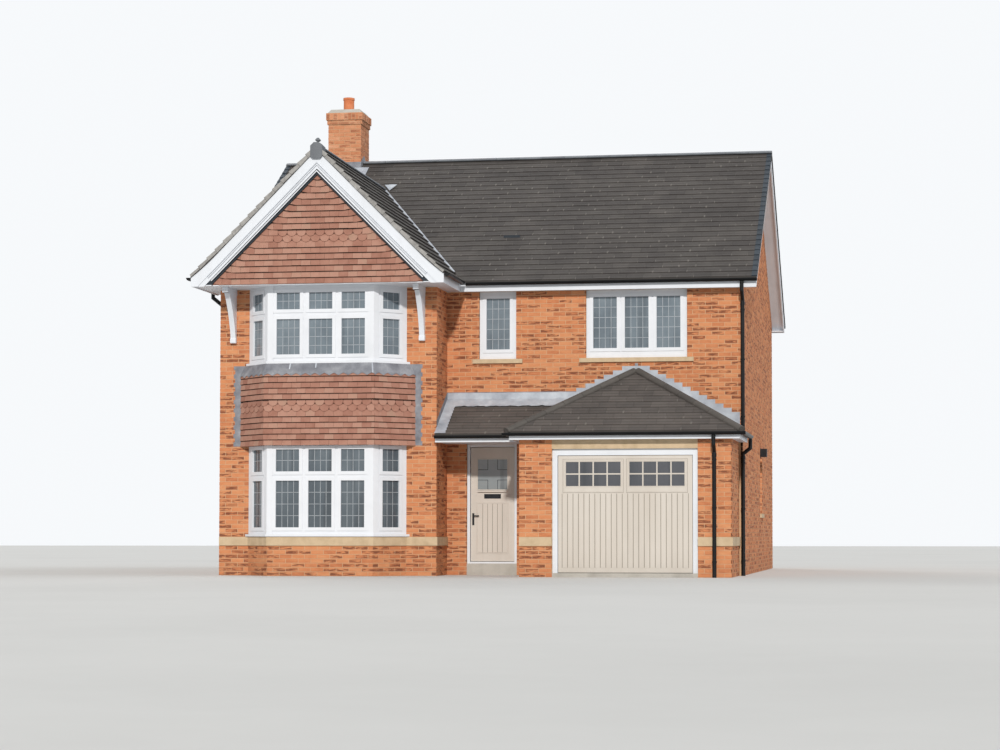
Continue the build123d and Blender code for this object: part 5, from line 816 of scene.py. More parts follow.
def porch_end(v):
    """Length of a porch course: it runs into the garage roof's side slope."""
    level = v * PORCH_PITCH / PORCH_STRETCH
    return (LOW_LEFT - GABLE_RIGHT) + level * half_run / climb


def side_start(v):
    """Where a course of the garage roof's left slope starts: at the wall, or at the porch roof."""
    level = v / SIDE_LENGTH * climb
    return np.maximum(0.0, PORCH_DEPTH - level / PORCH_PITCH)


piece("tiles_garage_and_porch", "low_tile",
      tiles(tile_rects(0, wide, FRONT_LENGTH), low_front,
            between(lambda v: v / FRONT_LENGTH * half_run,
                    lambda v: wide - v / FRONT_LENGTH * half_run, FRONT_LENGTH)),
      tiles(tile_rects(0, deep_run, SIDE_LENGTH), low_right,
            between(lambda v: v / SIDE_LENGTH * deep_run, straight(deep_run), SIDE_LENGTH)),
      tiles(tile_rects(0, deep_run, SIDE_LENGTH), low_left,
            between(side_start, lambda v: deep_run - v / SIDE_LENGTH * deep_run, SIDE_LENGTH)),
      tiles(tile_rects(0, 3.4, PORCH_LENGTH), porch,
            between(straight(0.0), porch_end, PORCH_LENGTH)))

# %% [markdown]
# ## Bars: ridge tiles, lead strips and brackets
# A second shape serves everything that is long and of one section: a profile carried from one point
# to another. All bars with the same profile are made at once.


# %% Profiles carried along lines
def bars(profile, starts, ends, sides, ups):
    """Closed prisms. Each profile point (a, b) becomes start + a side + b up, and again at the
    end; the walls join the two rings and two flat faces close them."""
    shape = np.asarray(profile, float)
    starts, ends, sides, ups = np.broadcast_arrays(*[np.atleast_2d(np.asarray(x, float))
                                                     for x in (starts, ends, sides, ups)])
    offset = (shape[None, :, 0, None] * sides[:, None] + shape[None, :, 1, None] * ups[:, None])
    rings = np.stack([starts[:, None] + offset, ends[:, None] + offset], axis=1)
    count, k = len(starts), len(shape)
    i = np.arange(k)
    wall = np.stack([i, (i + 1) % k, (i + 1) % k + k, i + k], axis=1)
    faces = repeated(wall, 2 * k, count) + repeated([i[::-1], i + k], 2 * k, count)
    return rings.reshape(-1, 3), faces, marks(np.repeat(rng.random(count), 2 * k))


def spaced(start, end, length, gap=0.006, overlap=0.0):
    """Starts and ends of equal pieces from one point to another, a gap apart."""
    start, end = np.array(start, float), np.array(end, float)
    whole = np.linalg.norm(end - start)
    count = max(1, round(whole / length))
    steps = np.linspace(0, 1, count + 1)[:, None]
    points = start + steps * (end - start)
    trim = (end - start) / whole * gap / 2
    return points[:-1] + trim, points[1:] - trim + overlap * (end - start) / whole


# %% [markdown]
# Ridge tiles are short half-round or angled shells bedded end to end. Their profile is the outside
# of the shell, its lower edges on the two slopes, and the inside. The hips have rounder ones, an arc
# a little over half a circle, and the first is stopped with a flat end.


# %% Ridge and hip tiles
def ridge_profile(half, pitch, crown, thick):
    """Angle ridge: wings at the roofs' pitch, a rounded top, and a wall of even thickness."""
    x = np.linspace(-half, half, 15)
    out = crown - np.sqrt((pitch * x) ** 2 + 0.0009) + 0.03
    edge = -pitch * half
    outer = [(a, max(b, edge)) for a, b in zip(x, out)]
    inner = [(a * 0.86, b - thick) for a, b in outer[::-1]]
    return outer + inner


def ridge_run(start, end, side, profile, length=0.45):
    """Ridge tiles end to end, a small gap apart."""
    a, b = spaced(start, end, length)
    up = np.cross(np.array(side, float), (b - a)[0] / np.linalg.norm((b - a)[0]))
    return bars(profile, a, b, side, up)


angled = ridge_profile(0.115, MAIN_PITCH, 0.034, 0.016)
steep = ridge_profile(0.095, 1.0, 0.036, 0.016)
ridge_end = -(MAIN_RIDGE - GABLE_RIDGE) / MAIN_PITCH - 0.06
ridge = piece("ridge_tiles_bedded", "ridge_tile",
              *[ridge_run((x0, 0, MAIN_RIDGE), (x1, 0, MAIN_RIDGE), (0, -1, 0), angled)
                for x0, x1 in ((-VERGE_X, CX0 - 0.01), (CX1 + 0.01, VERGE_X))],
              ridge_run((GABLE_MID, GABLE_VERGE + 0.2, GABLE_RIDGE),
                        (GABLE_MID, ridge_end, GABLE_RIDGE), (1, 0, 0), steep))


# %% Hip tiles
def bent(radius, thick, first, last, count=13):
    """Profile of a band bent round a circle from one angle to another."""
    angle = np.radians(np.linspace(first, last, count))
    outer = np.stack([np.cos(angle), np.sin(angle)], axis=-1)
    return np.concatenate([outer * (radius + thick), outer[::-1] * radius])


past_half = math.degrees(0.35)
shell, solid = (bent(r, t, -past_half, 180 + past_half, 15) * [1, 0.8]
                for r, t in ((0.064, 0.014), (0.074, 0.0)))
hips = []
for side in (-1, 1):
    foot = np.array([GARAGE_MID + side * half_run * 0.995, LOW_FRONT + 0.02, LOW_EAVE + 0.004])
    apex = np.array([GARAGE_MID + side * 0.03, FRONT - 0.03, LOW_APEX - 0.01])
    run = (apex - foot) / np.linalg.norm(apex - foot)
    across = np.cross(run, [0, 0, 1.0])
    across /= np.linalg.norm(across)
    a, b = spaced(foot, apex, 0.42)
    up = np.cross(across, run)
    hips += [bars(shell, a, b, across, up),
             bars(solid[:15], a[:1] - 0.004 * run, a[:1] + 0.03 * run, across, up)]
hip = piece("hip_tiles", "hip_tile", *hips)
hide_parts("ridge_tiles")
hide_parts("ridge_tiles")

# %% [markdown]
# ## Tile hanging
# The gable and the skirt between the bay's windows are hung with plain tiles, 165 mm wide. Two
# courses in each have round tails. A hung tile is a plate whose lower edge is a curve: straight for
# a plain tile and half a circle for a round one.


# %% Shaped tiles
TAIL_STEPS, TAIL_SHARE, PLATE = 9, 0.42, 0.018
COVERED, COVERED_CLEAR = 0.84, 1 / 0.75


def shaped_tiles(rects, place, round_tail, foot=0.024, head=0.004, edit=None, clear=None):
    """Tiles as plates: the outline goes down one side, round the tail in nine steps and up again.
    The front stands proud by foot at the tail and by head at the top. A second ring behind the
    outline gives the plate its thickness. Tiles marked clear show between round tails above."""
    share = np.linspace(0, 1, TAIL_STEPS)
    width = (rects[:, 1] - rects[:, 0])[:, None]
    u = rects[:, :1] + share * width
    drop = np.sqrt(np.clip(1 - (2 * share - 1) ** 2, 0, 1))
    tail_high = rects[:, 2:3] + width * TAIL_SHARE
    v = np.where(round_tail[:, None], tail_high - drop * width * TAIL_SHARE, rects[:, 2:3])
    u = np.concatenate([u, rects[:, 1:2], rects[:, 0:1]], axis=1)
    v = np.concatenate([v, rects[:, 3:4], rects[:, 3:4]], axis=1)
    if edit is not None:
        u, v = edit(u, v)
        kept = (u.max(1) - u.min(1) > 0.012) & (v.max(1) - v.min(1) > 0.012)
        u, v, rects = u[kept], v[kept], rects[kept]
        clear = None if clear is None else clear[kept]
    height = (rects[:, 3] - rects[:, 2])[:, None]
    part = np.clip((v - rects[:, 2:3]) / height, 0, 1)
    front = foot + (head - foot) * part + rng.uniform(-0.0012, 0.0012, (len(u), 1))
    outer, inner = place(u, v, front), place(u, v, front - PLATE)
    k, count = u.shape[1], len(u)
    points = np.stack([outer, inner], axis=1).reshape(-1, 3)
    i = np.arange(k)
    rim = np.stack([i, i + k, (i + 1) % k + k, (i + 1) % k], axis=1)
    across = (u - rects[:, :1]) / (rects[:, 1:2] - rects[:, :1])
    seen = part / (COVERED if clear is None else np.where(clear, COVERED_CLEAR, COVERED)[:, None])
    corners = marks(rng.random((count, 1)), np.tile(across, 2), np.tile(np.clip(seen, 0, 1), 2))
    return points, repeated([i], 2 * k, count) + repeated(rim, 2 * k, count), corners


# %% Gable
HUNG, HUNG_GAUGE, ROUND_DROP = 0.1665, 0.1047, 0.016
PANEL_FOOT, PANEL_EDGE, TURN_WIDE, TURN_UP = 5.048, 6.985, 0.2, 0.22


def hung_rows(u0, u1, foot, top, gauge):
    """Rectangles of hung tiles from a foot up to a top, and the number of each one's course."""
    rows = tile_rects(u0, u1, top - foot, gauge, HUNG, 0.003)
    rows[:, 2:] += foot
    rows[:, 3] += 0.02
    return rows, np.floor((rows[:, 2] - foot + 0.01) / gauge)


def gable_edit(u, v):
    """Tiles are cut on the 45-degree verge, and near it the courses turn up by a few degrees."""
    reach = np.clip(PANEL_EDGE - v, 0.0, None)
    near = np.clip(TURN_WIDE - (reach - np.abs(u)), 0.0, TURN_WIDE)
    lifted = v + TURN_UP * near
    reach = np.clip(PANEL_EDGE - lifted, 0.0, None)
    return np.clip(u, -reach, reach), lifted


rows, course = hung_rows(-2.2, 2.2, PANEL_FOOT, PANEL_EDGE, HUNG_GAUGE)
middle = np.abs((rows[:, 0] + rows[:, 1]) / 2)
is_round = np.isin(course, (7, 8)) & (middle < PANEL_EDGE - rows[:, 3] - 0.25)
rows[is_round, 2] -= ROUND_DROP
piece("tiles_hung_gable", "hung_tile",
      shaped_tiles(rows, upright((GABLE_MID, -5.92, 0), (0, -1)), is_round, edit=gable_edit,
                   clear=np.isin(course, (6, 7))))


# %% Bay skirt
def canted_faces(offset):
    """The three faces of the bay moved out by an offset: (origin, normal, width) of each."""
    front_half = BAY_HALF + offset * math.tan(math.pi / 8)
    out = BAY_OUT + offset
    foot = front_half + out
    return [((GABLE_MID - foot, GABLE_FRONT, 0), (-s, -s), out * math.sqrt(2)),
            ((GABLE_MID - front_half, GABLE_FRONT - out, 0), (0, -1), 2 * front_half),
            ((GABLE_MID + front_half, GABLE_FRONT - out, 0), (s, -s), out * math.sqrt(2))]


SKIRT_FOOT, SKIRT_TOP, SKIRT_GAUGE = 2.262, 3.53, 0.0995
parts = []
for origin, normal, width in canted_faces(0.1):
    rows, course = hung_rows(0.0, width, SKIRT_FOOT, SKIRT_TOP, SKIRT_GAUGE)
    rows[:, 3] = np.minimum(rows[:, 3], SKIRT_TOP)
    is_round = np.isin(course, (6, 7))
    rows[is_round, 2] -= ROUND_DROP

    def skirt_edit(u, v, width=width):
        """Tiles are cut at the corners of the bay, where two faces meet in a mitre."""
        return np.clip(u, -0.006, width + 0.006), v
    parts.append(shaped_tiles(rows, upright(origin, normal), is_round, edit=skirt_edit,
                              clear=np.isin(course, (5, 6))))
piece("tiles_hung_bay", "hung_tile", *parts)

# %% [markdown]
# ## Lights
# Every light of the windows is listed once: its face, how deep it sits, its edges, and how many
# columns and rows its leading has. Its lead strips and the beads round it are made from that list.


# %% Lights of the bay and the casements
BAY_LIGHT, BAY_PITCH, BAY_START = 0.415, 0.58, -1.5 * 0.415 - 0.165
CANT_LIGHT, CANT_START = 0.34, 0.185
BAY_LEVELS = ((0.841, 1.650, 4), (1.810, 2.193, 2), (3.842, 4.457, 4), (4.627, 4.919, 2))


def casement(origin, normal, count, foot, width=0.42, height=1.205, recess=0.045):
    """Lights of a casement whose left foot corner is at origin, a mullion apart."""
    mullion, margin, sill = 0.142, 0.122, 0.175
    starts = [margin + i * (width + mullion) for i in range(count)]
    return [(origin, normal, recess, (u, u + width, foot + sill, foot + height - margin), 4, 5)
            for u in starts]


lights = []
left_face, right_face = canted_faces(0.0)[::2]
far_start = left_face[2] - CANT_START - CANT_LIGHT
for low, high, rows in BAY_LEVELS:
    for i in range(3):
        u = BAY_START + i * BAY_PITCH
        lights.append(((GABLE_MID, GABLE_FRONT - BAY_OUT, 0), (0, -1), 0.0,
                       (u, u + BAY_LIGHT, low, high), 4, rows))
    for (origin, normal, width), start in ((right_face, CANT_START), (left_face, far_start)):
        lights.append((origin, normal, 0.0, (start, start + CANT_LIGHT, low, high), 3, rows))
lights += casement((-0.092, FRONT, 0), (0, -1), 1, HIGH_FOOT)
lights += casement((GARAGE_MID - 0.894, FRONT, 0), (0, -1), 3, HIGH_FOOT)
for u0 in REAR_WINDOWS:
    for foot in (LOW_FOOT, HIGH_FOOT):
        lights += casement((RIGHT - u0, REAR, 0), (0, 1), 3, foot)
lights += casement((RIGHT, 0.32, 0), (1, 0), 1, SIDE_FOOT, 0.356, 1.25, SIDE_DEPTH)
print("lights:", len(lights))

# %% [markdown]
# ## Leaded lights
# The lead strips are fixed to the glass in a grid. Each is a flat bar with a low crown, 9 mm wide.

# %% Lead strips on the lights
CAME = [(-0.0045, 0.0), (0.0045, 0.0), (0.003, 0.0022), (-0.003, 0.0022)]


def lattice(place, u0, u1, v0, v1, columns, rows):
    """Upright strips between columns and level ones between rows, just in front of the glass."""
    us, vs = np.linspace(u0, u1, columns + 1)[1:-1], np.linspace(v0, v1, rows + 1)[1:-1]
    zero = np.zeros(1)
    out = (place(zero, zero, zero + 1.0) - place(zero, zero, zero))[0]
    along = (place(zero + 1.0, zero, zero) - place(zero, zero, zero))[0]
    starts, ends = [np.concatenate([place(us, np.full(us.shape, v), 0 * us),
                                    place(np.full(vs.shape, u), vs, 0 * vs)])
                    for u, v in ((u0, v0), (u1, v1))]
    sides = np.concatenate([np.tile(along, (len(us), 1)), np.tile([0, 0, -1.0], (len(vs), 1))])
    return bars(CAME, starts, ends, sides, out)


def set_back(origin, normal, depth):
    """Place function of a face that lies a depth behind an upright one."""
    whole = upright(origin, normal)
    return lambda u, v, d: whole(u, v, d - depth)


piece("lead_strips", "came",
      *[lattice(set_back(origin, normal, recess + 0.023), *edges, columns, rows)
        for origin, normal, recess, edges, columns, rows in lights])

# %% [markdown]
# ## Mitred frames and beads
# Panels, panes and openings are edged by small mouldings that meet in mitres. A frame is a section
# carried round a rectangle: every point of the section is inset from the edges and given a depth.


# %% A section carried round a rectangle
def ring(place, u0, u1, v0, v1, section):
    """A mitred frame. Section point (inset, depth) gives the four corners of the rectangle moved
    in by the inset, and neighbouring points are joined by four strips."""
    inset, depth = np.array(section, float).T
    u = np.stack([u0 + inset, u1 - inset, u1 - inset, u0 + inset], axis=1)
    v = np.stack([v0 + inset, v0 + inset, v1 - inset, v1 - inset], axis=1)
    points = place(u, v, np.repeat(depth[:, None], 4, axis=1)).reshape(-1, 3)
    i, j = np.meshgrid(np.arange(len(inset)), np.arange(4), indexing="ij")
    a, b = (i + 1) % len(inset), (j + 1) % 4
    faces = np.stack([4 * i + j, 4 * i + b, 4 * a + b, 4 * a + j], axis=-1).reshape(-1, 4)
    return points, faces.tolist(), marks(np.full(len(points), rng.random()))


OGEE = [(0.0, -0.003), (0.0, 0.002), (0.004, 0.005), (0.011, 0.0055), (0.015, 0.002),
        (0.020, 0.003), (0.024, -0.003)]
GLAZING = [(0.0, -0.003), (0.0, 0.005), (0.005, 0.0055), (0.012, 0.0), (0.012, -0.003)]

# %% [markdown]
# The garage door is boarded: narrow upright boards with a V between them under a plain top rail. A
# moulding runs round each row of small panes, well away from it, and a slim bead holds the panes.

# %% Boards and mouldings of the garage door
GROOVE_SHADE = (0.001, -0.001)
door_face = upright((0, -5.935, 0), (0, -1))
edges, foot, top = np.linspace(1.649, 3.786, 24), 0.16, 1.405
parts = [slabs(rectangles(edges[:-1] + 0.007, edges[1:] - 0.007, foot, top), door_face, 0.0055, -0.002)]
# The thin dark strips in the V grooves and the dark ring just outside each moulding are painted shade.
groove_shades = [slabs(rectangles(edges - 0.005, edges + 0.005, foot, top), door_face, *GROOVE_SHADE)]
for u0, u1 in ((1.714, 2.642), (2.793, 3.721)):
    parts.append(ring(door_face, u0 - 0.05, u1 + 0.05, 1.424, 1.985, OGEE))
    parts.append(ring(door_face, u0 - 0.014, u1 + 0.014, 1.519, 1.954, GLAZING))
    groove_shades.append(ring(door_face, u0 - 0.055, u1 + 0.055, 1.419, 1.990,
                        [(0.0, -0.001), (0.0, 0.001), (0.005, 0.001), (0.005, -0.001)]))
piece("garage_door_mouldings", "door_paint", *parts, body="garage_door")
piece("garage_door_groove_shade", "groove_shade", *groove_shades, body="garage_door")

# %% [markdown]
# The front door has grooved boards in its lower half, a rail under the letterplate and a bead round
# its light. The strips on the light leave the middle clear, as in the photo.

# %% Boards and mouldings of the front door
leaf_face = upright((0, -4.219, 0), (0, -1))
edges, foot, top = np.linspace(-0.1305, 0.4005, 7), 0.40, 1.262
boards = rectangles(edges[:-1] + 0.006, edges[1:] - 0.006, foot, top)
# The dark strips between the boards are painted shade in the grooves.
between_boards = rectangles(edges[1:-1] - 0.004, edges[1:-1] + 0.004, foot, top)
piece("front_door_mouldings", "door_paint", slabs(boards, leaf_face, 0.005, -0.002),
      ring(leaf_face, -0.156, 0.426, 0.374, 1.288, OGEE),
      ring(leaf_face, -0.1505, 0.4205, 1.505, 2.07, GLAZING), body="front_door")
piece("front_door_groove_shade", "groove_shade", slabs(between_boards, leaf_face, *GROOVE_SHADE), body="front_door")
xs, zs, y = np.linspace(-0.1305, 0.4005, 4), np.linspace(1.5, 2.05, 4), -4.208
starts, ends, sides = [], [], []
for i in (1, 2):
    for j in (0, 2):
        starts += [(xs[i], y, zs[j]), (xs[j], y, zs[i])]
        ends += [(xs[i], y, zs[j + 1]), (xs[j + 1], y, zs[i])]
        sides += [(1.0, 0.0, 0.0), (0.0, 0.0, -1.0)]
# These strips are in the dark trim finish, darker than the windows' lead strips: painted shade of the
# porch over the door.
piece("front_door_strips", "dark_trim", bars(CAME, starts, ends, sides, (0, -1, 0)),
      body="front_door")

# %% [markdown]
# ## Sheet lead
# Lead is dressed down over the tiles by hand, so its surface is never flat and its free edge never
# straight. A sheet is a grid of points on a surface, lifted by slow ripples, with a thin rim.


# %% Rippled sheets
def sheet(place, u, v, lift, thick=0.004, ripple=0.004):
    """Sheet over the grid (u, v). Its top is at lift + ripple sin(31u + 3 sin 17v) cos(23v + 5u),
    its underside at lift - thick, and a rim closes it."""
    wave = ripple * np.sin(31 * u + 3 * np.sin(17 * v)) * np.cos(23 * v + 5 * u)
    points = np.concatenate([place(u, v, lift + wave).reshape(-1, 3),
                             place(u, v, lift - thick + 0 * u).reshape(-1, 3)])
    index = np.arange(u.size).reshape(u.shape)
    top = np.stack([index[:-1, :-1], index[1:, :-1], index[1:, 1:], index[:-1, 1:]], -1).reshape(-1, 4)
    loop = np.concatenate([index[:, 0], index[-1, 1:], index[-2::-1, -1], index[0, -2:0:-1]])
    after = np.roll(loop, -1)
    rim = np.stack([loop, loop + u.size, after + u.size, after], axis=-1)
    faces = np.concatenate([top, top[:, ::-1] + u.size, rim])
    return points, faces.tolist(), marks(np.full(2 * u.size, rng.random()))


def grid(along, low, high, rows=7):
    """Grid of u and v: each column of the grid runs from low to high at its own u."""
    share = np.linspace(0, 1, rows)
    low, high = np.broadcast_to(low, along.shape), np.broadcast_to(high, along.shape)
    return np.repeat(along[:, None], rows, axis=1), low[:, None] + (high - low)[:, None] * share


# %% Lead on the porch and beside the gable's valley
reach = np.linspace(0, 1, 70)
u, v = grid(reach, PORCH_LENGTH - 0.26, PORCH_LENGTH - 0.004)
ragged = 0.010 * np.sin(reach * 51) + 0.006 * np.sin(reach * 123 + 1)
v[:, 0] += ragged
u = u * (porch_end(v) - 0.03)
parts = [sheet(porch, u, v, 0.030)]
along = np.linspace(0.0, PORCH_LENGTH - 0.2, 40)
v, u = grid(along, 0.0, 0.19 + 0.007 * np.sin(along * 60), rows=6)
parts.append(flipped(sheet(porch, u, v, 0.027)))
along = np.linspace(0.35, (GABLE_RIDGE - EAVE_LEVEL) / rise - 0.05, 60)
v, u = grid(along, right_valley(along) - 0.03, right_valley(along) + 0.035, rows=4)
parts.append(flipped(sheet(front_slope, u, v, 0.026, ripple=0.002)))
top = (GABLE_RIDGE - EAVE_LEVEL) / rise
share = np.linspace(0.0, 1.0, 16)
point = np.where(share < 0.6, share / 0.6, (1 - share) / 0.4)
u, v = grid(GABLE_MID + 0.02 + 0.24 * share, top + 0.11 - 0.27 * point, top + 0.12, rows=6)
parts.append(sheet(front_slope, u, v, 0.034))
foot_v = (EAVE_RUN + CY0) * MAIN_STRETCH
u, v = grid(np.linspace(CX0 - 0.14, CX1 + 0.17, 50), foot_v - 0.36, foot_v + 0.02)
v[:, 0] += 0.02 * np.sin(u[:, 0] * 40)
parts.append(sheet(front_slope, u, v, 0.030))
piece("lead_aprons", "fresh_lead", *parts)

# %% [markdown]
# Beside the garage roof the lead climbs the wall in steps, one to each course of bricks, and every
# step is turned into a joint. Its foot follows the roof.


# %% Stepped lead over the garage roof
def over_roof(u, v):
    """Corners under the garage roof's surface come up onto it."""
    line = LOW_APEX - np.abs(u - GARAGE_MID) * climb / half_run
    return u, np.maximum(v, line - 0.01)


right = np.concatenate([[GARAGE_MID], 2.953 + 0.1435 * np.arange(12)])
left = np.concatenate([[GARAGE_MID], 2.465 - 0.163 * np.arange(6)])
steps = [(a, b, 2.4, 3.675 - COURSE * k) for k, (a, b) in enumerate(zip(right[:-1], right[1:]))]
steps += [(b, a, 2.4, 3.675 - COURSE * k) for k, (a, b) in enumerate(zip(left[:-1], left[1:]))]
thickness = rng.uniform(0.0075, 0.0105, len(steps))
front_wall = upright((0, FRONT, 0), (0, -1))
stepped = slabs(np.array(steps), front_wall, thickness, 0.0, edit=over_roof)
u, v = grid(np.linspace(GABLE_RIGHT + 0.01, 1.66, 60), 3.05, 3.228, rows=5)
piece("lead_steps", "fresh_lead", stepped,
      sheet(front_wall, u, v, 0.010, thick=0.008, ripple=0.0015))


# %% Lead over the bay's skirt
def bay_sheet(number, low, high, rows=7, start=0.0, end=1.0, lift=0.006):
    """Sheet on one face of the bay's apron. At level z the apron's offset falls from 100 mm at
    the skirt's top to 45 mm under the sill, and stays at 122 mm over the hung tiles."""
    def place(u, v, d):
        """u is the share of the face's width at the offset of level v."""
        offset = np.interp(v, [3.49, 3.52, 3.683], [0.122, 0.116, 0.047]) + d
        (x, y, _), (nx, ny), wide = canted_faces(offset)[number]
        return np.stack([x - ny * u * wide, y + nx * u * wide, v], axis=-1)
    u, v = grid(np.linspace(start, end, len(low)), low, high, rows)
    return sheet(place, u, v, lift, thick=0.004, ripple=0.0025)


def teeth(width, count):
    """Levels of the apron's free edge: it dips between the tiles, which are 165 mm apart."""
    share = np.linspace(0, width, count) / HUNG % 1.0
    return 3.462 + 0.046 * (1 - np.abs(2 * share - 1))


front_wide = 2 * (BAY_HALF + 0.1 * math.tan(math.pi / 8))
piece("lead_bay_apron", "lead", bay_sheet(0, teeth(0.82, 40), 3.678),
      bay_sheet(1, teeth(front_wide, 90), 3.678), bay_sheet(2, teeth(0.82, 40), 3.678))
piece("lead_bay_laps", "fresh_lead",
      *[bay_sheet(1, np.full(4, foot), 3.68, 5, start, start + 0.011, 0.010)
        for start, foot in ((0.225, 3.58), (0.462, 3.60), (0.978, 3.50))])

# %% [markdown]
# ## Rainwater fixings
# Gutters hang in half-round clips on the fascia, about one to the metre, and each downpipe is held
# off the wall by collars. Both are short bars whose profile is bent round the gutter or pipe.


# %% Gutter clips and pipe collars
GUTTER, CLIP, PIPE, COLLAR = 0.0492, 0.0044, 0.0345, 0.006


def gutter_clips(start, end, across, length=0.95):
    """Clips spread along a gutter from start to end; across points away from the building."""
    a, b = spaced(start, end, length)
    middle, along = (a + b) / 2, (b - a)[0] / np.linalg.norm((b - a)[0])
    part = bars(bent(GUTTER, CLIP, 180, 360), middle - 0.014 * along, middle + 0.014 * along,
                across, (0, 0, 1))
    return part if np.dot(np.cross(across, (0, 0, 1)), along) < 0 else flipped(part)


def collars(x, y, levels):
    """Collars round a downpipe at x and y, one at each level."""
    low = np.array([(x, y, z) for z in levels], float)
    return bars(bent(PIPE, COLLAR, 0, 345, 16), low, low + [0, 0, 0.028], (1, 0, 0), (0, 1, 0))


RUNS = [((-0.286, -4.5543, 5.166), (4.855, -4.5543, 5.166), (0, -1, 0)),
        ((-4.855, 4.5543, 5.166), (4.855, 4.5543, 5.166), (0, 1, 0)),
        ((-4.909, -5.9, 5.177), (-4.909, -4.55, 5.177), (-1, 0, 0)),
        ((-0.341, -5.9, 5.177), (-0.341, -4.7, 5.177), (1, 0, 0)),
        ((0.70, -6.204, 2.427), (4.74, -6.204, 2.427), (0, -1, 0)),
        ((4.714, -6.1, 2.427), (4.714, -4.35, 2.427), (1, 0, 0)),
        ((-0.65, -5.374, 2.427), (0.64, -5.374, 2.427), (0, -1, 0))]
LOW, ALL = (0.25, 1.15, 1.95), (0.3, 1.4, 2.5, 3.6, 4.6)
PIPES = [(4.588, -4.364, (2.75, 3.75, 4.62)), (4.23, -6.064, LOW), (4.588, -4.364, LOW),
         (-4.639, -4.6, ALL), (4.46, 4.364, ALL)]
parts = [gutter_clips(*run) for run in RUNS] + [collars(*pipe) for pipe in PIPES]
half_disc = bent(0.0, GUTTER + CLIP, 180, 360)[:13]
STOPS = [((-4.909, -5.966, 5.177), (0, -1, 0)), ((-0.341, -5.966, 5.177), (0, -1, 0)),
         ((0.669, -6.204, 2.427), (-1, 0, 0)), ((-0.672, -5.374, 2.427), (-1, 0, 0))]
for tip, way in np.array(STOPS):
    parts.append(bars(half_disc, tip - 0.008 * way, tip + 0.004 * way, np.cross(way, (0, 0, 1.0)),
                      (0, 0, 1)))
piece("gutter_clips", "rainwater", *parts)

# %% [markdown]
# The two brackets under the jetty are sawn from thick board. A moulded cap sits over each, and a block
# ends the foot on the wall.

# %% Mouldings of the jetty brackets
CAP = [(-0.555, 4.935), (-0.562, 4.945), (-0.562, 4.962), (-0.572, 4.972), (-0.572, 5.028),
       (-0.004, 5.028), (-0.004, 4.935)]
BLOCK = [(-0.074, 4.088), (-0.082, 4.098), (-0.082, 4.160), (-0.074, 4.170), (-0.074, 4.180),
         (-0.002, 4.180), (-0.002, 4.088)]
parts = [flipped(bars(shape, (x - 0.051, GABLE_FRONT, 0), (x + 0.051, GABLE_FRONT, 0), (0, 1, 0),
                      (0, 0, 1))) for x in (-4.325, -0.925) for shape in (CAP, BLOCK)]
piece("bracket_mouldings", "white_board", *parts)

# %% [markdown]
# ## Window beads
# Each light sits in its own sash. A bead runs round the glass, and a fine second edge shows where
# the sash meets the frame.

# %% Beads round the lights
SASH = [(-0.014, -0.004), (-0.014, 0.004), (-0.008, 0.006), (-0.001, -0.018), (-0.004, -0.019)]
piece("window_beads", "bead", *[ring(set_back(origin, normal, recess), *edges, SASH)
                                for origin, normal, recess, edges, *_ in lights])

# %% [markdown]
# ## Mouldings of the gable
# Two fine beads run along each bargeboard, on the step between its thick upper and thin lower part.


# %% Beads along the bargeboards
def barge_bead(side, depth, size=0.011):
    """A small half-round bead under the roof's surface at a depth, from near the tip to the apex,
    where it stops on the gable's middle."""
    angle = np.linspace(0, math.pi, 6)
    section = np.stack([depth - size * np.cos(angle), size * np.sin(angle)], axis=-1)
    share = np.linspace(0, 1, 60)[:, None]
    v = 0.2 + share * (GABLE_LENGTH - section[None, :, 0] - 0.2)
    points = gable_slope(side)(0.02 - section[None, :, 1] + 0 * v, v, -section[None, :, 0] + 0 * v)
    index = np.arange(v.size).reshape(v.shape)
    after = np.roll(index, -1, axis=1)
    faces = np.stack([index[:-1], after[:-1], after[1:], index[1:]], -1).reshape(-1, 4)
    part = points.reshape(-1, 3), faces.tolist(), marks(np.full(v.size, 0.5))
    return part if side > 0 else flipped(part)


piece("bargeboard_beads", "white_board",
      *[barge_bead(side, depth) for side in (-1, 1) for depth in (0.205, 0.235, 0.315)])

# %% [markdown]
# ## Camera and light
# The camera stands low and far off, as for a long lens, and looks up by a little. The rest of the
# framing is shift, which keeps the walls upright in the picture. The light is plain: one broad soft
# lamp from the front right, two weaker ones from the side and behind, and a pale even sky.

# %% Stage
finish("floor", "C9C8C5 CFCECB CCCBC8", 0.1, 3.0, (0.8, 0.95), 0.05, 0.003, 0, 0.0)
mesh = bpy.data.meshes.new("floor")
mesh.from_pydata([(-90, -90, 0), (90, -90, 0), (90, 90, 0), (-90, 90, 0)], [], [[0, 1, 2, 3]])
mesh.materials.append(finishes["floor"])
floor = bpy.data.objects.new("floor", mesh)
bpy.context.scene.collection.objects.link(floor)

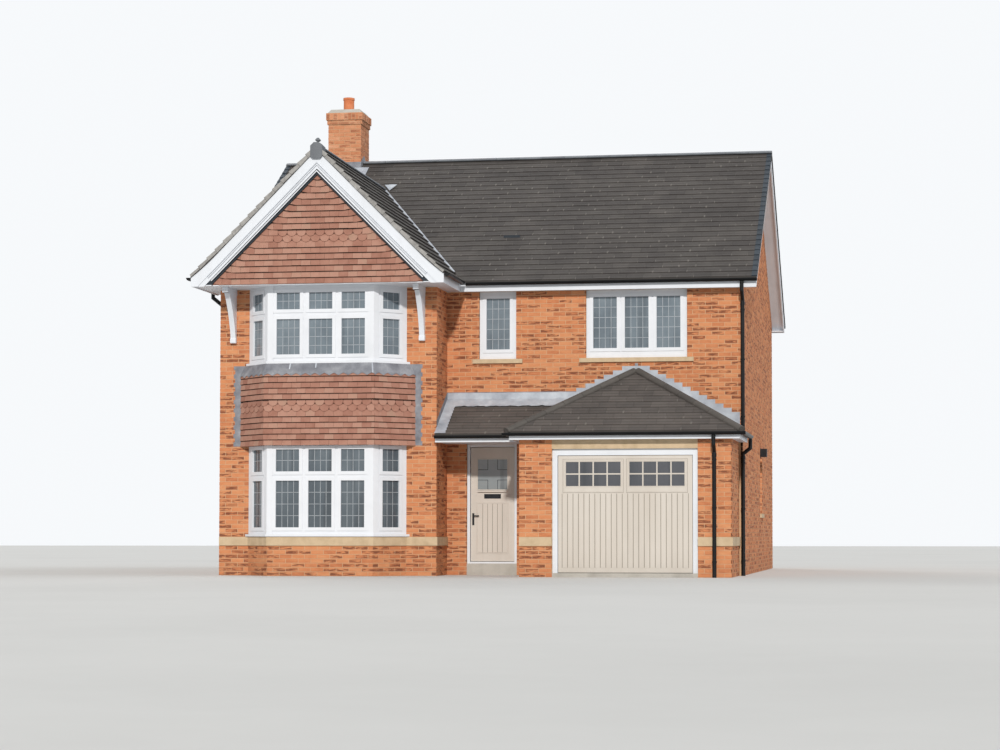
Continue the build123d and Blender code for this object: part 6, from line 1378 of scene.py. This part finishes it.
# %% Sky and lamps
world = bpy.data.worlds.new("studio")
bpy.context.scene.world = world
world.use_nodes = True
tree = world.node_tree
tree.nodes.clear()
lit = node(tree, "ShaderNodeBackground", {"Color": (0.9, 0.95, 1.0, 1.0), "Strength": 0.42})
seen = node(tree, "ShaderNodeBackground", {"Color": (0.93, 0.95, 0.97, 1.0), "Strength": 1.0})
path = node(tree, "ShaderNodeLightPath")
either = maths(tree, "MAXIMUM", path.outputs["Is Camera Ray"], path.outputs["Is Glossy Ray"])
either = maths(tree, "MAXIMUM", either, path.outputs["Is Transmission Ray"])
mix = node(tree, "ShaderNodeMixShader", {0: either, 1: lit.outputs[0], 2: seen.outputs[0]})
node(tree, "ShaderNodeOutputWorld", {"Surface": mix.outputs[0]})


def sun(name, azimuth, height, strength, angle, colour=(1, 1, 1)):
    """A distant lamp: azimuth is measured from the front towards the right, height from level."""
    lamp = bpy.data.lights.new(name, "SUN")
    lamp.energy, lamp.angle, lamp.color = strength, math.radians(angle), colour
    obj = bpy.data.objects.new(name, lamp)
    a, h = math.radians(azimuth), math.radians(height)
    back = np.array([math.sin(a) * math.cos(h), -math.cos(a) * math.cos(h), math.sin(h)])
    obj.rotation_mode = "QUATERNION"
    obj.rotation_quaternion = Vector(back).to_track_quat("Z", "Y")
    obj.location = tuple(back * 30)
    bpy.context.scene.collection.objects.link(obj)


sun("key", 9, 27, 2.65, 2.5, (1.0, 0.96, 0.91))
sun("side", 100, 35, 0.75, 40, (0.88, 0.94, 1.0))
sun("back", 215, 35, 0.6, 25)

# %% Camera
camera = bpy.data.cameras.new("camera")
camera.lens, camera.sensor_width = 80.0, 36.0
camera.shift_x, camera.shift_y = -0.060, 0.065
camera.clip_end = 300.0
cam = bpy.data.objects.new("camera", camera)
cam.location = (7.389, -42.99, 0.728)
cam.rotation_euler = (math.radians(92.42), 0, math.radians(8.86))
bpy.context.scene.collection.objects.link(cam)
bpy.context.scene.camera = cam
scene = bpy.context.scene
scene.view_settings.view_transform = "Standard"

# %% Sizes
print("pieces:", len(made), "triangles added:", sum(made.values()))
